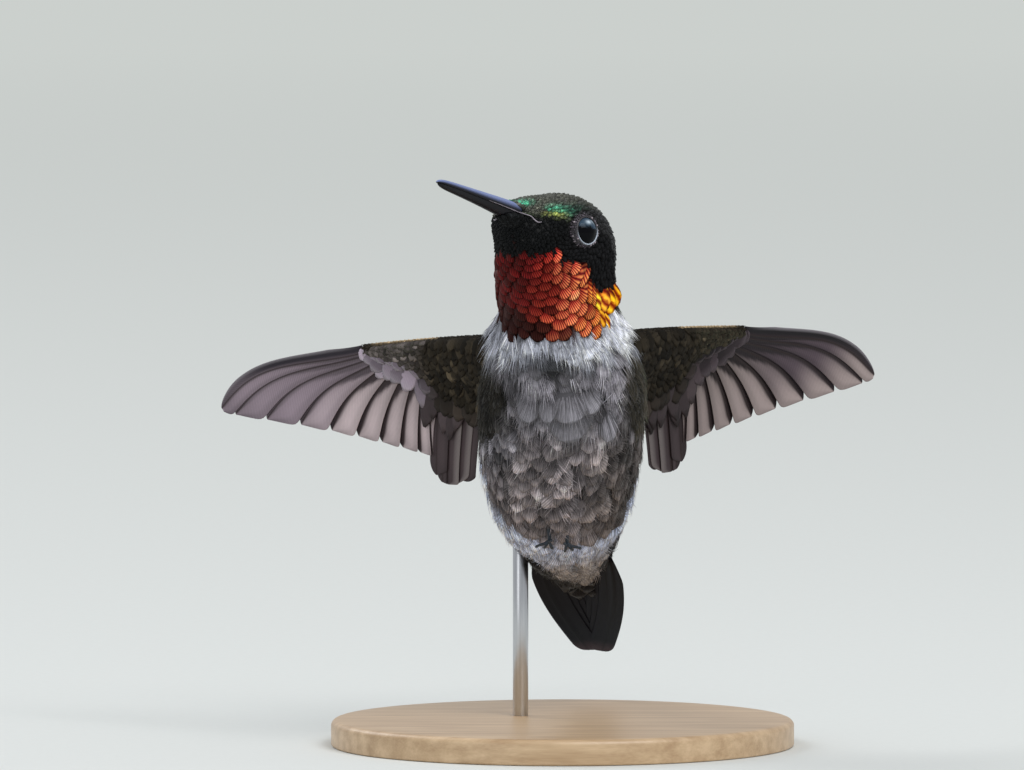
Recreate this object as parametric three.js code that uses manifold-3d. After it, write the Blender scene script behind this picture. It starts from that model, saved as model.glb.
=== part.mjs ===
// Adult male ruby-throated hummingbird, hovering: a still, life-size model on a plain display stand.
// Units are millimetres and degrees. +Z is up, the bird faces -Y and its left side is on +X.
// The origin is the centre of the stand's underside.
import * as THREE from "three";
import { mergeVertices } from "three/addons/utils/BufferGeometryUtils.js";
import Module from "manifold-3d";

const wasm = await Module();
wasm.setup();

// ---------- Driving dimensions ----------
const GAP = 0.3; // clearance between neighbouring pieces
const BIRD_HEIGHT = 40; // middle of the trunk above the table
const BIRD_BACK = -3.4; // middle of the trunk along Y, from the middle of the base
const BIRD_PITCH = -4; // nose-up lean of the whole bird

const HEAD_YAW = 35; // the head looks towards the bird's right
const HEAD_PITCH = 14; // and a little up
const BILL_LENGTH = 16;
const BILL_SEAT = 2.5; // length of bill hidden in the face
const BILL_DROOP = 0.35; // fall of the tip below a straight bill

const EYE_RADIUS = 2;
const EYE_ALONG = 6.6; // behind the base of the bill, along the head
const EYE_OUT = 4.7; // from the middle of the head
const EYE_UP = -0.45;

const WING_LENGTH = 44;
const VANE_THICKNESS = 0.6;
const PRIMARIES = 10;
const SECONDARIES = 6;
const RECTRICES = 5; // on each side of the tail
const TAIL_THICKNESS = 0.7;

const ANKLES_AT = 9.84; // station of the tucked feet on the belly
const ANKLE_OUT = 1.3; // from the middle of the belly

const BASE_RADIUS = 27;
const BASE_HEIGHT = 3;
const BASE_BEVEL = 0.6;
const ROD_RADIUS = 0.9;
const ROD_AT = [-4.9, 4.6]; // where the rod stands on the base
const ROD_TOP = 27;
const SOCKET_DEPTH = 2;

// The trunk, neck and head are one tube of half-ellipses along a bent spine. Each station gives the middle
// of its section, half its width, its depth to the back and to the front, and its turn about Z.
const STATIONS = [
  // x, y, z, half width, back, front, turn
  [-5.6, -16.6, 22.0, 1.3, 1.0, 1.4, 35], // base of the bill
  [-4.7, -14.9, 21.3, 4.3, 2.8, 4.0, 35], // lores and chin
  [-2.9, -12.4, 20.4, 5.7, 4.2, 5.4, 34], // eyes
  [-1.2, -9.6, 18.8, 6.8, 5.9, 6.4, 29], // crown and cheeks
  [-0.6, -8.0, 15.0, 6.8, 5.9, 6.5, 20], // nape and throat
  [-0.4, -7.2, 11.0, 7.2, 6.3, 6.8, 10], // foot of the throat
  [-0.2, -5.6, 6.6, 8.9, 7.6, 8.2, 0], // shoulders and upper breast
  [0.0, -3.2, 1.8, 9.9, 8.3, 9.2, -3], // breast
  [-0.2, -0.4, -3.2, 9.9, 8.2, 9.2, -4], // middle of the trunk
  [-0.3, 2.9, -8.0, 9.4, 7.6, 8.5, -4], // belly
  [0.1, 6.9, -12.3, 8.2, 6.3, 7.0, -4], // lower belly
  [0.8, 11.6, -16.0, 6.3, 4.5, 5.0, -4], // vent
  [1.6, 16.8, -19.2, 4.1, 2.6, 3.0, -6], // tail coverts
  [2.3, 21.4, -21.7, 1.7, 1.0, 1.1, -8], // end of the coverts
];
const NECK_FROM = 3.35; // station numbers where the tube is parted
const TRUNK_FROM = 5.15;
const RUMP_FROM = 10.85;

// ---------- Materials ----------
function finish(color, roughness, metalness = 0) {
  return new THREE.MeshStandardMaterial({ color, roughness, metalness });
}
const FINISH = {
  crown: finish("#26312a", 0.6, 0.2),
  throat: finish("#c23a12", 0.4, 0.4),
  trunk: finish("#8f8a88", 0.9),
  rump: finish("#b9b1aa", 0.9),
  coverts: finish("#3b3f2c", 0.7, 0.1),
  remiges: finish("#7d7276", 0.7),
  tail: finish("#1f1c24", 0.6),
  bill: finish("#22242c", 0.35),
  eye: finish("#08090b", 0.08),
  foot: finish("#1d1b1c", 0.6),
  base: finish("#c9b08c", 0.5),
  rod: finish("#b8babd", 0.3, 1),
};

// ---------- Small helpers ----------
const radians = THREE.MathUtils.degToRad;
const mix = THREE.MathUtils.lerp;
const vector = (x, y, z) => new THREE.Vector3(x, y, z);

// Uniform Catmull-Rom through rows of numbers: row t, between the stations.
function between(rows, t) {
  const i = Math.min(Math.max(Math.floor(t), 0), rows.length - 2);
  const f = t - i;
  const row = (k) => rows[Math.min(Math.max(k, 0), rows.length - 1)];
  const [a, b, c, d] = [row(i - 1), row(i), row(i + 1), row(i + 2)];
  return b.map((_, k) => {
    const slope = (c[k] - a[k]) / 2;
    const next = (d[k] - b[k]) / 2;
    const bend = 3 * (c[k] - b[k]) - 2 * slope - next;
    const twist = 2 * (b[k] - c[k]) + slope + next;
    return b[k] + f * (slope + f * (bend + f * twist));
  });
}

// A closed solid from rings of points, each end closed by a fan about its middle.
function loft(rings) {
  const count = rings[0].length;
  const middle = (ring) =>
    ring.reduce((sum, p) => sum.add(p), vector(0, 0, 0)).divideScalar(count);
  const points = [...rings.flat(), middle(rings[0]), middle(rings.at(-1))];
  const first = points.length - 2;
  const top = (rings.length - 1) * count;
  const index = [];
  for (let j = 0; j < count; j++) {
    const k = (j + 1) % count;
    for (let i = 0; i < rings.length - 1; i++) {
      const a = i * count;
      index.push(a + j, a + k, a + count + k, a + j, a + count + k, a + count + j);
    }
    index.push(first, k, j, first + 1, top + j, top + k);
  }
  const geometry = new THREE.BufferGeometry().setFromPoints(points).setIndex(index);
  return solid(geometry);
}

// A closed geometry as a manifold solid, turned right side out.
function solid(geometry) {
  geometry.deleteAttribute("normal");
  geometry.deleteAttribute("uv");
  const merged = mergeVertices(geometry, 1e-4);
  const vertProperties = merged.attributes.position.array;
  const triVerts = new Uint32Array(merged.index.array);
  const made = new wasm.Manifold(new wasm.Mesh({ numProp: 3, vertProperties, triVerts }));
  if (made.volume() > 0) return made;
  triVerts.reverse();
  return new wasm.Manifold(new wasm.Mesh({ numProp: 3, vertProperties, triVerts }));
}

function joined(solids) {
  return solids.reduce((all, one) => all.add(one));
}

// The largest piece that is left of a solid when the others are cut away.
function cut(body, ...others) {
  const left = others.reduce((rest, other) => rest.subtract(other), body).decompose();
  return left.sort((a, b) => b.volume() - a.volume())[0];
}

function meshOf(name, body, material) {
  const { numProp, numVert, vertProperties, triVerts } = body.getMesh();
  const positions = new Float32Array(numVert * 3);
  for (let i = 0; i < numVert; i++) {
    positions.set(vertProperties.subarray(i * numProp, i * numProp + 3), i * 3);
  }
  const geometry = new THREE.BufferGeometry();
  geometry.setAttribute("position", new THREE.BufferAttribute(positions, 3));
  geometry.setIndex(new THREE.BufferAttribute(triVerts, 1));
  geometry.computeVertexNormals();
  const mesh = new THREE.Mesh(geometry, material);
  mesh.name = name;
  return mesh;
}

function ball(centre, radius, across, down) {
  return solid(new THREE.SphereGeometry(radius, across, down).translate(...centre));
}

// ---------- Trunk, neck and head ----------
const middleAt = (t) => vector(...between(STATIONS, t));

// The point at station t and angle round the tube: 0 is the bird's left, 90 its back, -90 its front.
function skinPoint(t, angle, swell = 0) {
  const [x, y, z, half, back, front, turn] = between(STATIONS, t);
  const along = middleAt(t + 0.02).sub(middleAt(t - 0.02)).normalize();
  const left = vector(Math.cos(radians(turn)), -Math.sin(radians(turn)), 0);
  left.addScaledVector(along, -left.dot(along)).normalize();
  const up = left.clone().cross(along).normalize();
  const depth = Math.sin(angle) > 0 ? back : front;
  return vector(x, y, z)
    .addScaledVector(left, Math.cos(angle) * (half + swell))
    .addScaledVector(up, Math.sin(angle) * (depth + swell));
}

function tube(from, to, steps, sides, swell = 0) {
  const rings = [];
  for (let i = 0; i <= steps; i++) {
    const ring = [];
    for (let j = 0; j < sides; j++) {
      ring.push(skinPoint(mix(from, to, i / steps), (j / sides) * 2 * Math.PI, swell));
    }
    rings.push(ring);
  }
  return loft(rings);
}

// Half of a cut's width, as a share of the way between two stations.
function halfCut(t) {
  return (GAP * 0.75) / middleAt(t + 0.5).distanceTo(middleAt(t - 0.5));
}

// ---------- Bill ----------
const billForward = vector(
  -Math.sin(radians(HEAD_YAW)) * Math.cos(radians(HEAD_PITCH)),
  -Math.cos(radians(HEAD_YAW)) * Math.cos(radians(HEAD_PITCH)),
  Math.sin(radians(HEAD_PITCH)),
);
const headLeft = vector(Math.cos(radians(HEAD_YAW)), -Math.sin(radians(HEAD_YAW)), 0);
const headUp = billForward.clone().cross(headLeft);
const faceMiddle = vector(...STATIONS[0].slice(0, 3));

// A point given along, left of and above the middle of the face.
function headPoint(along, left, up) {
  return faceMiddle
    .clone()
    .addScaledVector(billForward, along)
    .addScaledVector(headLeft, left)
    .addScaledVector(headUp, up);
}

// One half of the bill: a half-round section that tapers to the tip. side is 1 above and -1 below, and
// spread grows it, for cutting.
function billHalf(side, length, width, height, spread) {
  const rings = [];
  const steps = 8;
  const arc = 7;
  for (let i = 0; i <= steps; i++) {
    const share = i / steps;
    const along = mix(-BILL_SEAT, length, share);
    const reach = Math.max(along, 0) / BILL_LENGTH;
    const taper = (0.42 + 0.58 * (1 - Math.min(reach, 1)) ** 1.5) * (1 - share ** 12 * 0.75);
    const fall = BILL_DROOP * reach * reach;
    const parting = side * (GAP / 2);
    const ring = [];
    for (let j = 0; j <= arc; j++) {
      const a = (j / arc) * Math.PI;
      const across = Math.cos(a) * (width / 2 + spread) * taper;
      const above = Math.sin(a) * (height + spread) * taper;
      ring.push(headPoint(along, across, parting - fall + side * (above - spread)));
    }
    rings.push(ring);
  }
  return loft(rings);
}

// ---------- Wings ----------
// side is 1 for the bird's left wing. sweep turns the wing back and droop lowers its tip. tilt sets its
// hind edge back, and twist adds to that towards the tip.
const WINGS = {
  left: { side: 1, at: [9.6, -4.2, 8.9], sweep: 51.5, droop: -4, tilt: 17, twist: 2 },
  right: { side: -1, at: [-9.9, -4.2, 8.2], sweep: 44, droop: 0.6, tilt: 15, twist: 15 },
};

function wingAxes({ side, sweep, droop, tilt, twist }, out) {
  const [b, d, t] = [sweep, droop, tilt + (twist * out) / WING_LENGTH].map(radians);
  const span = vector(side * Math.cos(b) * Math.cos(d), Math.sin(b) * Math.cos(d), -Math.sin(d));
  const down = vector(0, 0, -1).addScaledVector(span, span.z).normalize();
  const behind = span.clone().cross(down).multiplyScalar(side);
  const chord = down.multiplyScalar(Math.cos(t)).addScaledVector(behind, Math.sin(t));
  return { span, chord, dorsal: span.clone().cross(chord).multiplyScalar(side) };
}

// A point of a wing: out along the span, back along the chord, and off the cambered sheet towards the back.
function wingPoint(wing, out, back, off) {
  const { span, chord, dorsal } = wingAxes(wing, out);
  const camber = 1.1 * Math.sin((Math.PI * Math.min(Math.max(back, 0), 18)) / 18);
  const flex = 2.6 * (out / WING_LENGTH) ** 2;
  return vector(...wing.at)
    .addScaledVector(span, out)
    .addScaledVector(chord, back)
    .addScaledVector(dorsal, off + camber - flex);
}

// Each flight feather: root and tip on the wing as [out, back], the bow of its shaft, how far towards the
// tip that bow lies, and the widths of its two vanes.
function primary(number) {
  const f = (number - 1) / (PRIMARIES - 1);
  const reach = f ** 1.25 + 0.085 * Math.sin(Math.PI * f ** 4.5);
  return {
    root: [9.3 + 9.5 * f ** 1.1, 3.4 - 1.4 * f],
    tip: [mix(12.4, WING_LENGTH + 0.7, reach), 15 - 6.8 * f ** 1.1],
    bow: 0.6 + 1.6 * f ** 2,
    lean: 1.4,
    outer: mix(1.3, 0.9, f),
    inner: mix(2.6, 3.4, f) - 1.2 * f ** 8,
  };
}
function secondary(number) {
  const f = (number - 1) / (SECONDARIES - 1);
  return {
    root: [8.2 - 5.2 * f, 3.6],
    tip: [12.3 - 4.6 * f, 17.2 + 1.1 * Math.sin(2.6 * f ** 0.7)],
    bow: 0.4,
    lean: 1.4,
    outer: 1.3,
    inner: 2.2,
  };
}

// The vane as a solid strip, its outline rounded at the tip. v runs from the root to the tip of the shaft,
// and full() is the share of its width there. spread grows it all round, for cutting.
function vane(place, feather, thickness, spread = 0) {
  const [root, tip] = [new THREE.Vector2(...feather.root), new THREE.Vector2(...feather.tip)];
  const across = new THREE.Vector2(tip.y - root.y, root.x - tip.x).normalize();
  const full = (v) => Math.min(1, 0.3 + 3 * v) * (1 - Math.max(0, (v - 0.6) / 0.4) ** 2) ** 0.5;
  const steps = 6;
  const rings = [];
  for (let i = 0; i <= steps; i++) {
    const v = Math.sin((i / steps) * Math.PI * 0.5);
    const middle = root.clone().lerp(tip, v + (v > 0.5 ? spread / 20 : 0));
    middle.addScaledVector(across, feather.bow * Math.sin(Math.PI * v ** feather.lean));
    const width = Math.max(full(Math.min(v, 0.99)), 0.12);
    const edge = middle.clone().addScaledVector(across, feather.outer * width + spread);
    const inner = middle.clone().addScaledVector(across, -feather.inner * width - spread);
    const h = thickness / 2;
    rings.push([
      place(edge.x, edge.y, -h),
      place(edge.x, edge.y, h),
      place(inner.x, inner.y, h),
      place(inner.x, inner.y, -h),
    ]);
  }
  return loft(rings);
}

// The arm, hand and their coverts: an aerofoil that thins outwards and is rounded in front.
function wingArm(wing, spread = 0) {
  const rings = [];
  const steps = 9;
  for (let i = 0; i <= steps; i++) {
    const share = i / steps;
    const out = mix(-3.5, 21.5, share) + (i === steps ? spread : 0);
    const chord = mix(8.4, 3.0, share ** 0.8) + spread;
    const height = mix(2.3, 0.45, share ** 0.7) + spread;
    const front = mix(0.1, 1.15, share ** 1.5) - spread;
    const ring = [];
    for (let j = 0; j < 12; j++) {
      const a = (j / 12) * 2 * Math.PI;
      const back = front + (chord * (1 - Math.cos(a))) / 2;
      const lean = 1 - 0.35 * (1 - Math.cos(a)) * 0.5;
      ring.push(wingPoint(wing, out, back, Math.sin(a) * height * lean));
    }
    rings.push(ring);
  }
  return loft(rings);
}

function wingPieces(name, wing, trunkCutter) {
  const place = (out, back, off) => wingPoint(wing, out, back, off);
  const arm = cut(wingArm(wing), trunkCutter);
  const pieces = [meshOf(`wing_${name}_arm`, arm, FINISH.coverts)];
  const armCutter = wingArm(wing, GAP);
  let covered = joined([trunkCutter, armCutter]);
  const feathers = [];
  for (let n = PRIMARIES; n >= 1; n--) feathers.push(["primary", n, primary(n)]);
  for (let n = 1; n <= SECONDARIES; n++) feathers.push(["secondary", n, secondary(n)]);
  for (const [kind, n, feather] of feathers) {
    const blade = cut(vane(place, feather, VANE_THICKNESS), covered);
    const label = `wing_${name}_${kind}_${String(n).padStart(2, "0")}`;
    pieces.push(meshOf(label, blade, FINISH.remiges));
    covered = covered.add(vane(place, feather, 4 * VANE_THICKNESS, GAP));
  }
  return pieces;
}

// ---------- Tail ----------
const TAIL = { root: [1.35, 11.2, -16.5], yaw: -6.5, fall: 27, roll: 4 };

// A point of the tail: out to its left, back along it and off it towards the back of the bird.
function tailPoint(out, back, off) {
  const place = new THREE.Euler(radians(-TAIL.fall), radians(TAIL.roll), radians(TAIL.yaw), "ZXY");
  return vector(out, back, off - 0.03 * out * out).applyEuler(place).add(vector(...TAIL.root));
}

// Half of the folded tail: its five feathers, the outer ones longer and bowed outwards.
function tailHalf(side) {
  const feathers = [];
  for (let n = 1; n <= RECTRICES; n++) {
    const f = (n - 1) / (RECTRICES - 1);
    const feather = {
      root: [side * (0.7 + 1.5 * f), 0],
      tip: [side * (0.8 + 0.2 * f), 24.8 + 1.7 * f],
      bow: side * (0.3 + 2.1 * f),
      lean: 0.74,
      outer: 1.2,
      inner: 1.2,
    };
    const place = (out, back, off) => tailPoint(out, back, off - 0.1 * n);
    feathers.push(vane(place, feather, TAIL_THICKNESS));
  }
  const otherHalf = [-3, 30].map((back) =>
    [[GAP / 2, -6], [GAP / 2, 6], [-9, 6], [-9, -6]].map(([out, off]) =>
      tailPoint(side * out, back, off),
    ),
  );
  return cut(joined(feathers), loft(otherHalf));
}

// The room that the roots of the tail take in the rump.
function tailSlot() {
  const rings = [];
  for (const back of [-GAP, 5, 10, 15]) {
    const across = [-6.5, -3.2, 0, 3.2, 6.5];
    const under = across.map((out) => tailPoint(out, back, -TAIL_THICKNESS / 2 - 0.5 - GAP));
    const over = across.map((out) => tailPoint(out, back, TAIL_THICKNESS / 2 + GAP)).reverse();
    rings.push([...under, ...over]);
  }
  return loft(rings);
}

// ---------- Legs ----------
// A round limb along a list of points that narrows from one radius to the other.
function limb(points, from, to) {
  const curve = new THREE.CatmullRomCurve3(points);
  const steps = points.length;
  const sides = 5;
  const rings = [];
  for (let i = 0; i <= steps; i++) {
    const along = curve.getTangentAt(i / steps);
    const a = vector(1, 0.2, 0).cross(along).normalize();
    const b = along.clone().cross(a);
    const radius = mix(from, to, (i / steps) ** 2);
    const ring = [];
    for (let j = 0; j < sides; j++) {
      const turn = (j / sides) * 2 * Math.PI;
      const p = curve.getPointAt(i / steps).addScaledVector(a, Math.cos(turn) * radius);
      ring.push(p.addScaledVector(b, Math.sin(turn) * radius));
    }
    rings.push(ring);
  }
  return loft(rings);
}

// A place on the belly: station, distance to the bird's left of the middle, and height off the skin.
function onBelly(t, out, off) {
  const half = between(STATIONS, t)[3];
  return skinPoint(t, -Math.acos(out / half), off);
}

// The tucked shank, and the foot at its end: three toes in front and one behind, each with its claw.
function shank(side) {
  const out = side * ANKLE_OUT;
  const knee = onBelly(ANKLES_AT - 0.46, out * 1.15, 0.75);
  return limb([knee, onBelly(ANKLES_AT - 0.11, out, 1.1)], 0.42, 0.35);
}
function foot(side) {
  const out = side * ANKLE_OUT;
  const ankle = onBelly(ANKLES_AT, out, 1.2);
  const toes = [-1, 0, 1].map((n) => {
    const knuckle = onBelly(ANKLES_AT + 0.16, out + n * 0.6, 1.35);
    return limb([ankle, knuckle, onBelly(ANKLES_AT + 0.26, out + n * 0.7, 0.7)], 0.32, 0.2);
  });
  const heel = onBelly(ANKLES_AT + 0.04, out * 0.9, 1.9);
  const hind = limb([ankle, heel, onBelly(ANKLES_AT + 0.14, out * 0.85, 2.2)], 0.32, 0.2);
  return joined([...toes, hind]);
}

// ---------- Display stand ----------
function standRod(spread = 0) {
  const from = BASE_HEIGHT - SOCKET_DEPTH - spread;
  const to = ROD_TOP + spread;
  const rod = new THREE.CylinderGeometry(ROD_RADIUS + spread, ROD_RADIUS + spread, to - from, 16);
  rod.rotateX(Math.PI / 2).translate(...ROD_AT, (to + from) / 2);
  return solid(rod);
}
function standBase() {
  const profile = [
    [0, 0],
    [BASE_RADIUS - BASE_BEVEL, 0],
    [BASE_RADIUS, BASE_BEVEL],
    [BASE_RADIUS, BASE_HEIGHT - BASE_BEVEL],
    [BASE_RADIUS - BASE_BEVEL, BASE_HEIGHT],
    [0, BASE_HEIGHT],
  ].map(([r, h]) => new THREE.Vector2(r, h));
  return solid(new THREE.LatheGeometry(profile, 36).rotateX(Math.PI / 2));
}

// ---------- The model ----------
const bird = new THREE.Group();
bird.position.set(0, BIRD_BACK, BIRD_HEIGHT);
bird.rotation.x = radians(BIRD_PITCH);
bird.updateMatrix();

const eyes = {};
for (const [name, side] of [["left", 1], ["right", -1]]) {
  eyes[name] = headPoint(-EYE_ALONG, side * EYE_OUT, EYE_UP).toArray();
}
const billUpper = billHalf(1, BILL_LENGTH, 2.3, 1.15, 0);
const billLower = billHalf(-1, BILL_LENGTH - 0.4, 2.0, 0.85, 0);
const billCutter = joined([billHalf(1, 3, 2.3, 1.15, GAP), billHalf(-1, 3, 2.0, 0.85, GAP)]);
const sockets = Object.values(eyes).map((at) => ball(at, EYE_RADIUS + GAP, 10, 6));

const endOfTube = STATIONS.length - 1;
const head = tube(0, NECK_FROM - halfCut(NECK_FROM), 9, 22);
const neck = tube(NECK_FROM + halfCut(NECK_FROM), TRUNK_FROM - halfCut(TRUNK_FROM), 4, 22);
const trunk = tube(TRUNK_FROM + halfCut(TRUNK_FROM), RUMP_FROM - halfCut(RUMP_FROM), 10, 22);
const rump = tube(RUMP_FROM + halfCut(RUMP_FROM), endOfTube, 7, 18);
const trunkCutter = tube(TRUNK_FROM - 0.6, RUMP_FROM, 12, 22, GAP);

bird.add(meshOf("head", cut(head, billCutter, ...sockets), FINISH.crown));
bird.add(meshOf("bill_upper", billUpper, FINISH.bill));
bird.add(meshOf("bill_lower", billLower, FINISH.bill));
for (const [name, at] of Object.entries(eyes)) {
  bird.add(meshOf(`eye_${name}`, ball(at, EYE_RADIUS, 12, 10), FINISH.eye));
}
bird.add(meshOf("neck", neck, FINISH.throat));

const rodCutter = standRod(GAP).transform(bird.matrix.clone().invert().elements);
bird.add(meshOf("trunk", cut(trunk, rodCutter), FINISH.trunk));

bird.add(meshOf("rump", cut(rump, rodCutter, tailSlot()), FINISH.rump));
bird.add(meshOf("tail_left", tailHalf(1), FINISH.tail));
bird.add(meshOf("tail_right", tailHalf(-1), FINISH.tail));
for (const [name, side] of [["left", 1], ["right", -1]]) {
  bird.add(meshOf(`leg_${name}`, shank(side), FINISH.foot));
  bird.add(meshOf(`foot_${name}`, foot(side), FINISH.foot));
}

for (const [name, wing] of Object.entries(WINGS)) {
  for (const piece of wingPieces(name, wing, trunkCutter)) bird.add(piece);
}

const stand = new THREE.Group();
stand.add(meshOf("stand_base", cut(standBase(), standRod(GAP)), FINISH.base));
stand.add(meshOf("stand_rod", standRod(), FINISH.rod));

const model = new THREE.Group();
model.add(bird, stand);
export default model;
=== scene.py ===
"""Adult male ruby-throated hummingbird, hovering: a still, life-size model on a plain display stand.

Shapes are worked out in millimetres in the bird's own frame, in which it faces -Y, its left side is on +X
and the middle of its trunk is at the origin, and in_place() sets them over the stand, in metres.
"""

import math

import bpy
import numpy as np
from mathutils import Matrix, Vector


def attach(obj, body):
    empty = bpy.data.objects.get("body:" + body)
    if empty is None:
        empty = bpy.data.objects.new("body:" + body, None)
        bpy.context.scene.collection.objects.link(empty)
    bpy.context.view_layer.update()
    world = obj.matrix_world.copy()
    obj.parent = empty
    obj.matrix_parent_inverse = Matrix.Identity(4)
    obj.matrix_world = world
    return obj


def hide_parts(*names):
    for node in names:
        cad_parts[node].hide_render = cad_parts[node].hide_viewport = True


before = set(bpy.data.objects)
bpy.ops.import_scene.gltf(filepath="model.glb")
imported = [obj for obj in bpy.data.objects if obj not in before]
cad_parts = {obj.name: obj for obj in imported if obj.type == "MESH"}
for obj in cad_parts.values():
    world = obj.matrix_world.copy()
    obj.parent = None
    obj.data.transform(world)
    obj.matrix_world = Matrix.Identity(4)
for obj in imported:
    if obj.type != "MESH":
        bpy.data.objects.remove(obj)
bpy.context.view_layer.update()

# ---------- The studio ----------
# A wide pale floor under soft light: a large lamp high in front, a weaker one behind, a faint one low at the
# other side, and a pale world. The camera stands two metres off with a long lens, a little above the bird.
MM = 0.001
CAMERA_DISTANCE = 2.0
CAMERA_DROP = math.radians(4)  # it looks down by this
CAMERA_AIM = Vector((-5.9, -3.24, 42.29)) * MM
CAMERA_LENS = 604.7
FLOOR_HALF, FLOOR_DROP = 8.0, 5e-5

camera_data = bpy.data.cameras.new("camera")
camera_data.lens = CAMERA_LENS
camera_data.sensor_width = 36
camera_data.clip_end = 50
camera = bpy.data.objects.new("camera", camera_data)
camera.location = CAMERA_AIM - Vector((0, math.cos(CAMERA_DROP), -math.sin(CAMERA_DROP))) * CAMERA_DISTANCE
camera.rotation_euler = (math.pi / 2 - CAMERA_DROP, 0, 0)
bpy.context.scene.collection.objects.link(camera)
bpy.context.scene.camera = camera
bpy.context.scene.view_settings.view_transform = "Standard"


def add_node(tree, kind, inputs=None, **settings):
    """One shader node: its settings, and its inputs by name or number, each a value or a node's output."""
    node = tree.nodes.new(kind)
    for key, value in settings.items():
        setattr(node, key, value)
    for key, value in (inputs or {}).items():
        if isinstance(value, bpy.types.NodeSocket):
            tree.links.new(value, node.inputs[key])
        else:
            node.inputs[key].default_value = value
    return node


def new_finish(name, roughness, specular=0.5, **constants):
    """A material with one Principled shader: its name, roughness, specular level and whatever else is the
    same all over."""
    finish = bpy.data.materials.new(name)
    finish.use_nodes = True
    shader = finish.node_tree.nodes["Principled BSDF"]
    shader.inputs["Roughness"].default_value = roughness
    shader.inputs["Specular IOR Level"].default_value = specular
    for key, value in constants.items():
        shader.inputs[key.replace("_", " ").title()].default_value = value
    return finish, finish.node_tree, shader


def own_place(tree):
    """Where a point lies on its own piece, which is where it lies in the scene."""
    return add_node(tree, "ShaderNodeTexCoord").outputs["Object"]


def noise(tree, place, scale, detail):
    """Noise from 0 to 1 at a place, with scale lumps to its unit and so many finer layers over them."""
    inputs = {"Vector": place, "Scale": scale, "Detail": detail}
    return add_node(tree, "ShaderNodeTexNoise", inputs).outputs[0]


def math_node(tree, operation, *values):
    """What one operation makes of up to three numbers or outputs."""
    return add_node(tree, "ShaderNodeMath", dict(enumerate(values)), operation=operation).outputs[0]


def paint_between(tree, shader, share, first, second):
    """Gives the shader a colour between two, by a share from 0 to 1."""
    mix = add_node(tree, "ShaderNodeMix", {"Factor": share}, data_type="RGBA")
    mix.inputs[6].default_value = (*first, 1)
    mix.inputs[7].default_value = (*second, 1)
    tree.links.new(mix.outputs[2], shader.inputs["Base Color"])


floor_finish, tree, shader = new_finish("floor_paper", 0.9)
place = own_place(tree)
paint_between(tree, shader, noise(tree, place, 900.0, 2.0), (0.66, 0.68, 0.66), (0.69, 0.71, 0.69))
depth = add_node(tree, "ShaderNodeSeparateXYZ", {0: place}).outputs[1]
far = add_node(tree, "ShaderNodeMapRange", {"Value": depth, "From Min": 0.1, "From Max": 1.6}).outputs[0]
rays = add_node(tree, "ShaderNodeLightPath")
seen = math_node(tree, "MAXIMUM", rays.outputs["Is Camera Ray"], rays.outputs["Is Glossy Ray"])
far = math_node(tree, "MULTIPLY", far, seen)
paper = add_node(tree, "ShaderNodeEmission", {"Color": (0.60, 0.63, 0.61, 1)})
backdrop = add_node(tree, "ShaderNodeMixShader", {0: far, 1: shader.outputs[0], 2: paper.outputs[0]})
tree.links.new(backdrop.outputs[0], tree.nodes["Material Output"].inputs["Surface"])
floor_mesh = bpy.data.meshes.new("floor")
corners = [(FLOOR_HALF * x, FLOOR_HALF * y, -FLOOR_DROP) for x, y in ((-1, -1), (1, -1), (1, 1), (-1, 1))]
floor_mesh.from_pydata(corners, [], [(0, 1, 2, 3)])
floor_mesh.materials.append(floor_finish)
floor = bpy.data.objects.new("floor", floor_mesh)
bpy.context.scene.collection.objects.link(floor)

world = bpy.data.worlds.new("studio")
world.use_nodes = True
sky = world.node_tree.nodes["Background"]
sky.inputs["Color"].default_value = (0.93, 0.96, 1.0, 1)
sky.inputs["Strength"].default_value = 0.55
bpy.context.scene.world = world


def add_lamp(name, place, size, watts):
    """A square soft lamp that looks at the bird."""
    data = bpy.data.lights.new(name, "AREA")
    data.size = size
    data.energy = watts
    lamp = bpy.data.objects.new(name, data)
    lamp.location = place
    lamp.rotation_euler = (CAMERA_AIM - Vector(place)).to_track_quat("-Z", "Y").to_euler()
    bpy.context.scene.collection.objects.link(lamp)


add_lamp("lamp_key", (0.55, -0.85, 1.1), 0.8, 13.0)
add_lamp("lamp_far", (-0.9, 0.7, 0.9), 0.8, 7.0)
add_lamp("lamp_fill", (-0.8, -1.1, 0.3), 0.7, 1.6)

# ---------- The skin ----------
# The bird's flesh: head, neck, trunk, rump and the arms of the wings in one piece, as on a stuffed bird.
# It is a tube of half-ellipses along a bent spine with an arm fused into each shoulder, and lies inside
# the coat by its depth. Little of it shows, so it is dull, and it takes the colours of the feathers over it
# at about a third of their brightness, as painted shade in the gaps between them.
BIRD_HEIGHT = 40.0
BIRD_BACK = -3.4
BIRD_PITCH = math.radians(-4)
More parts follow.
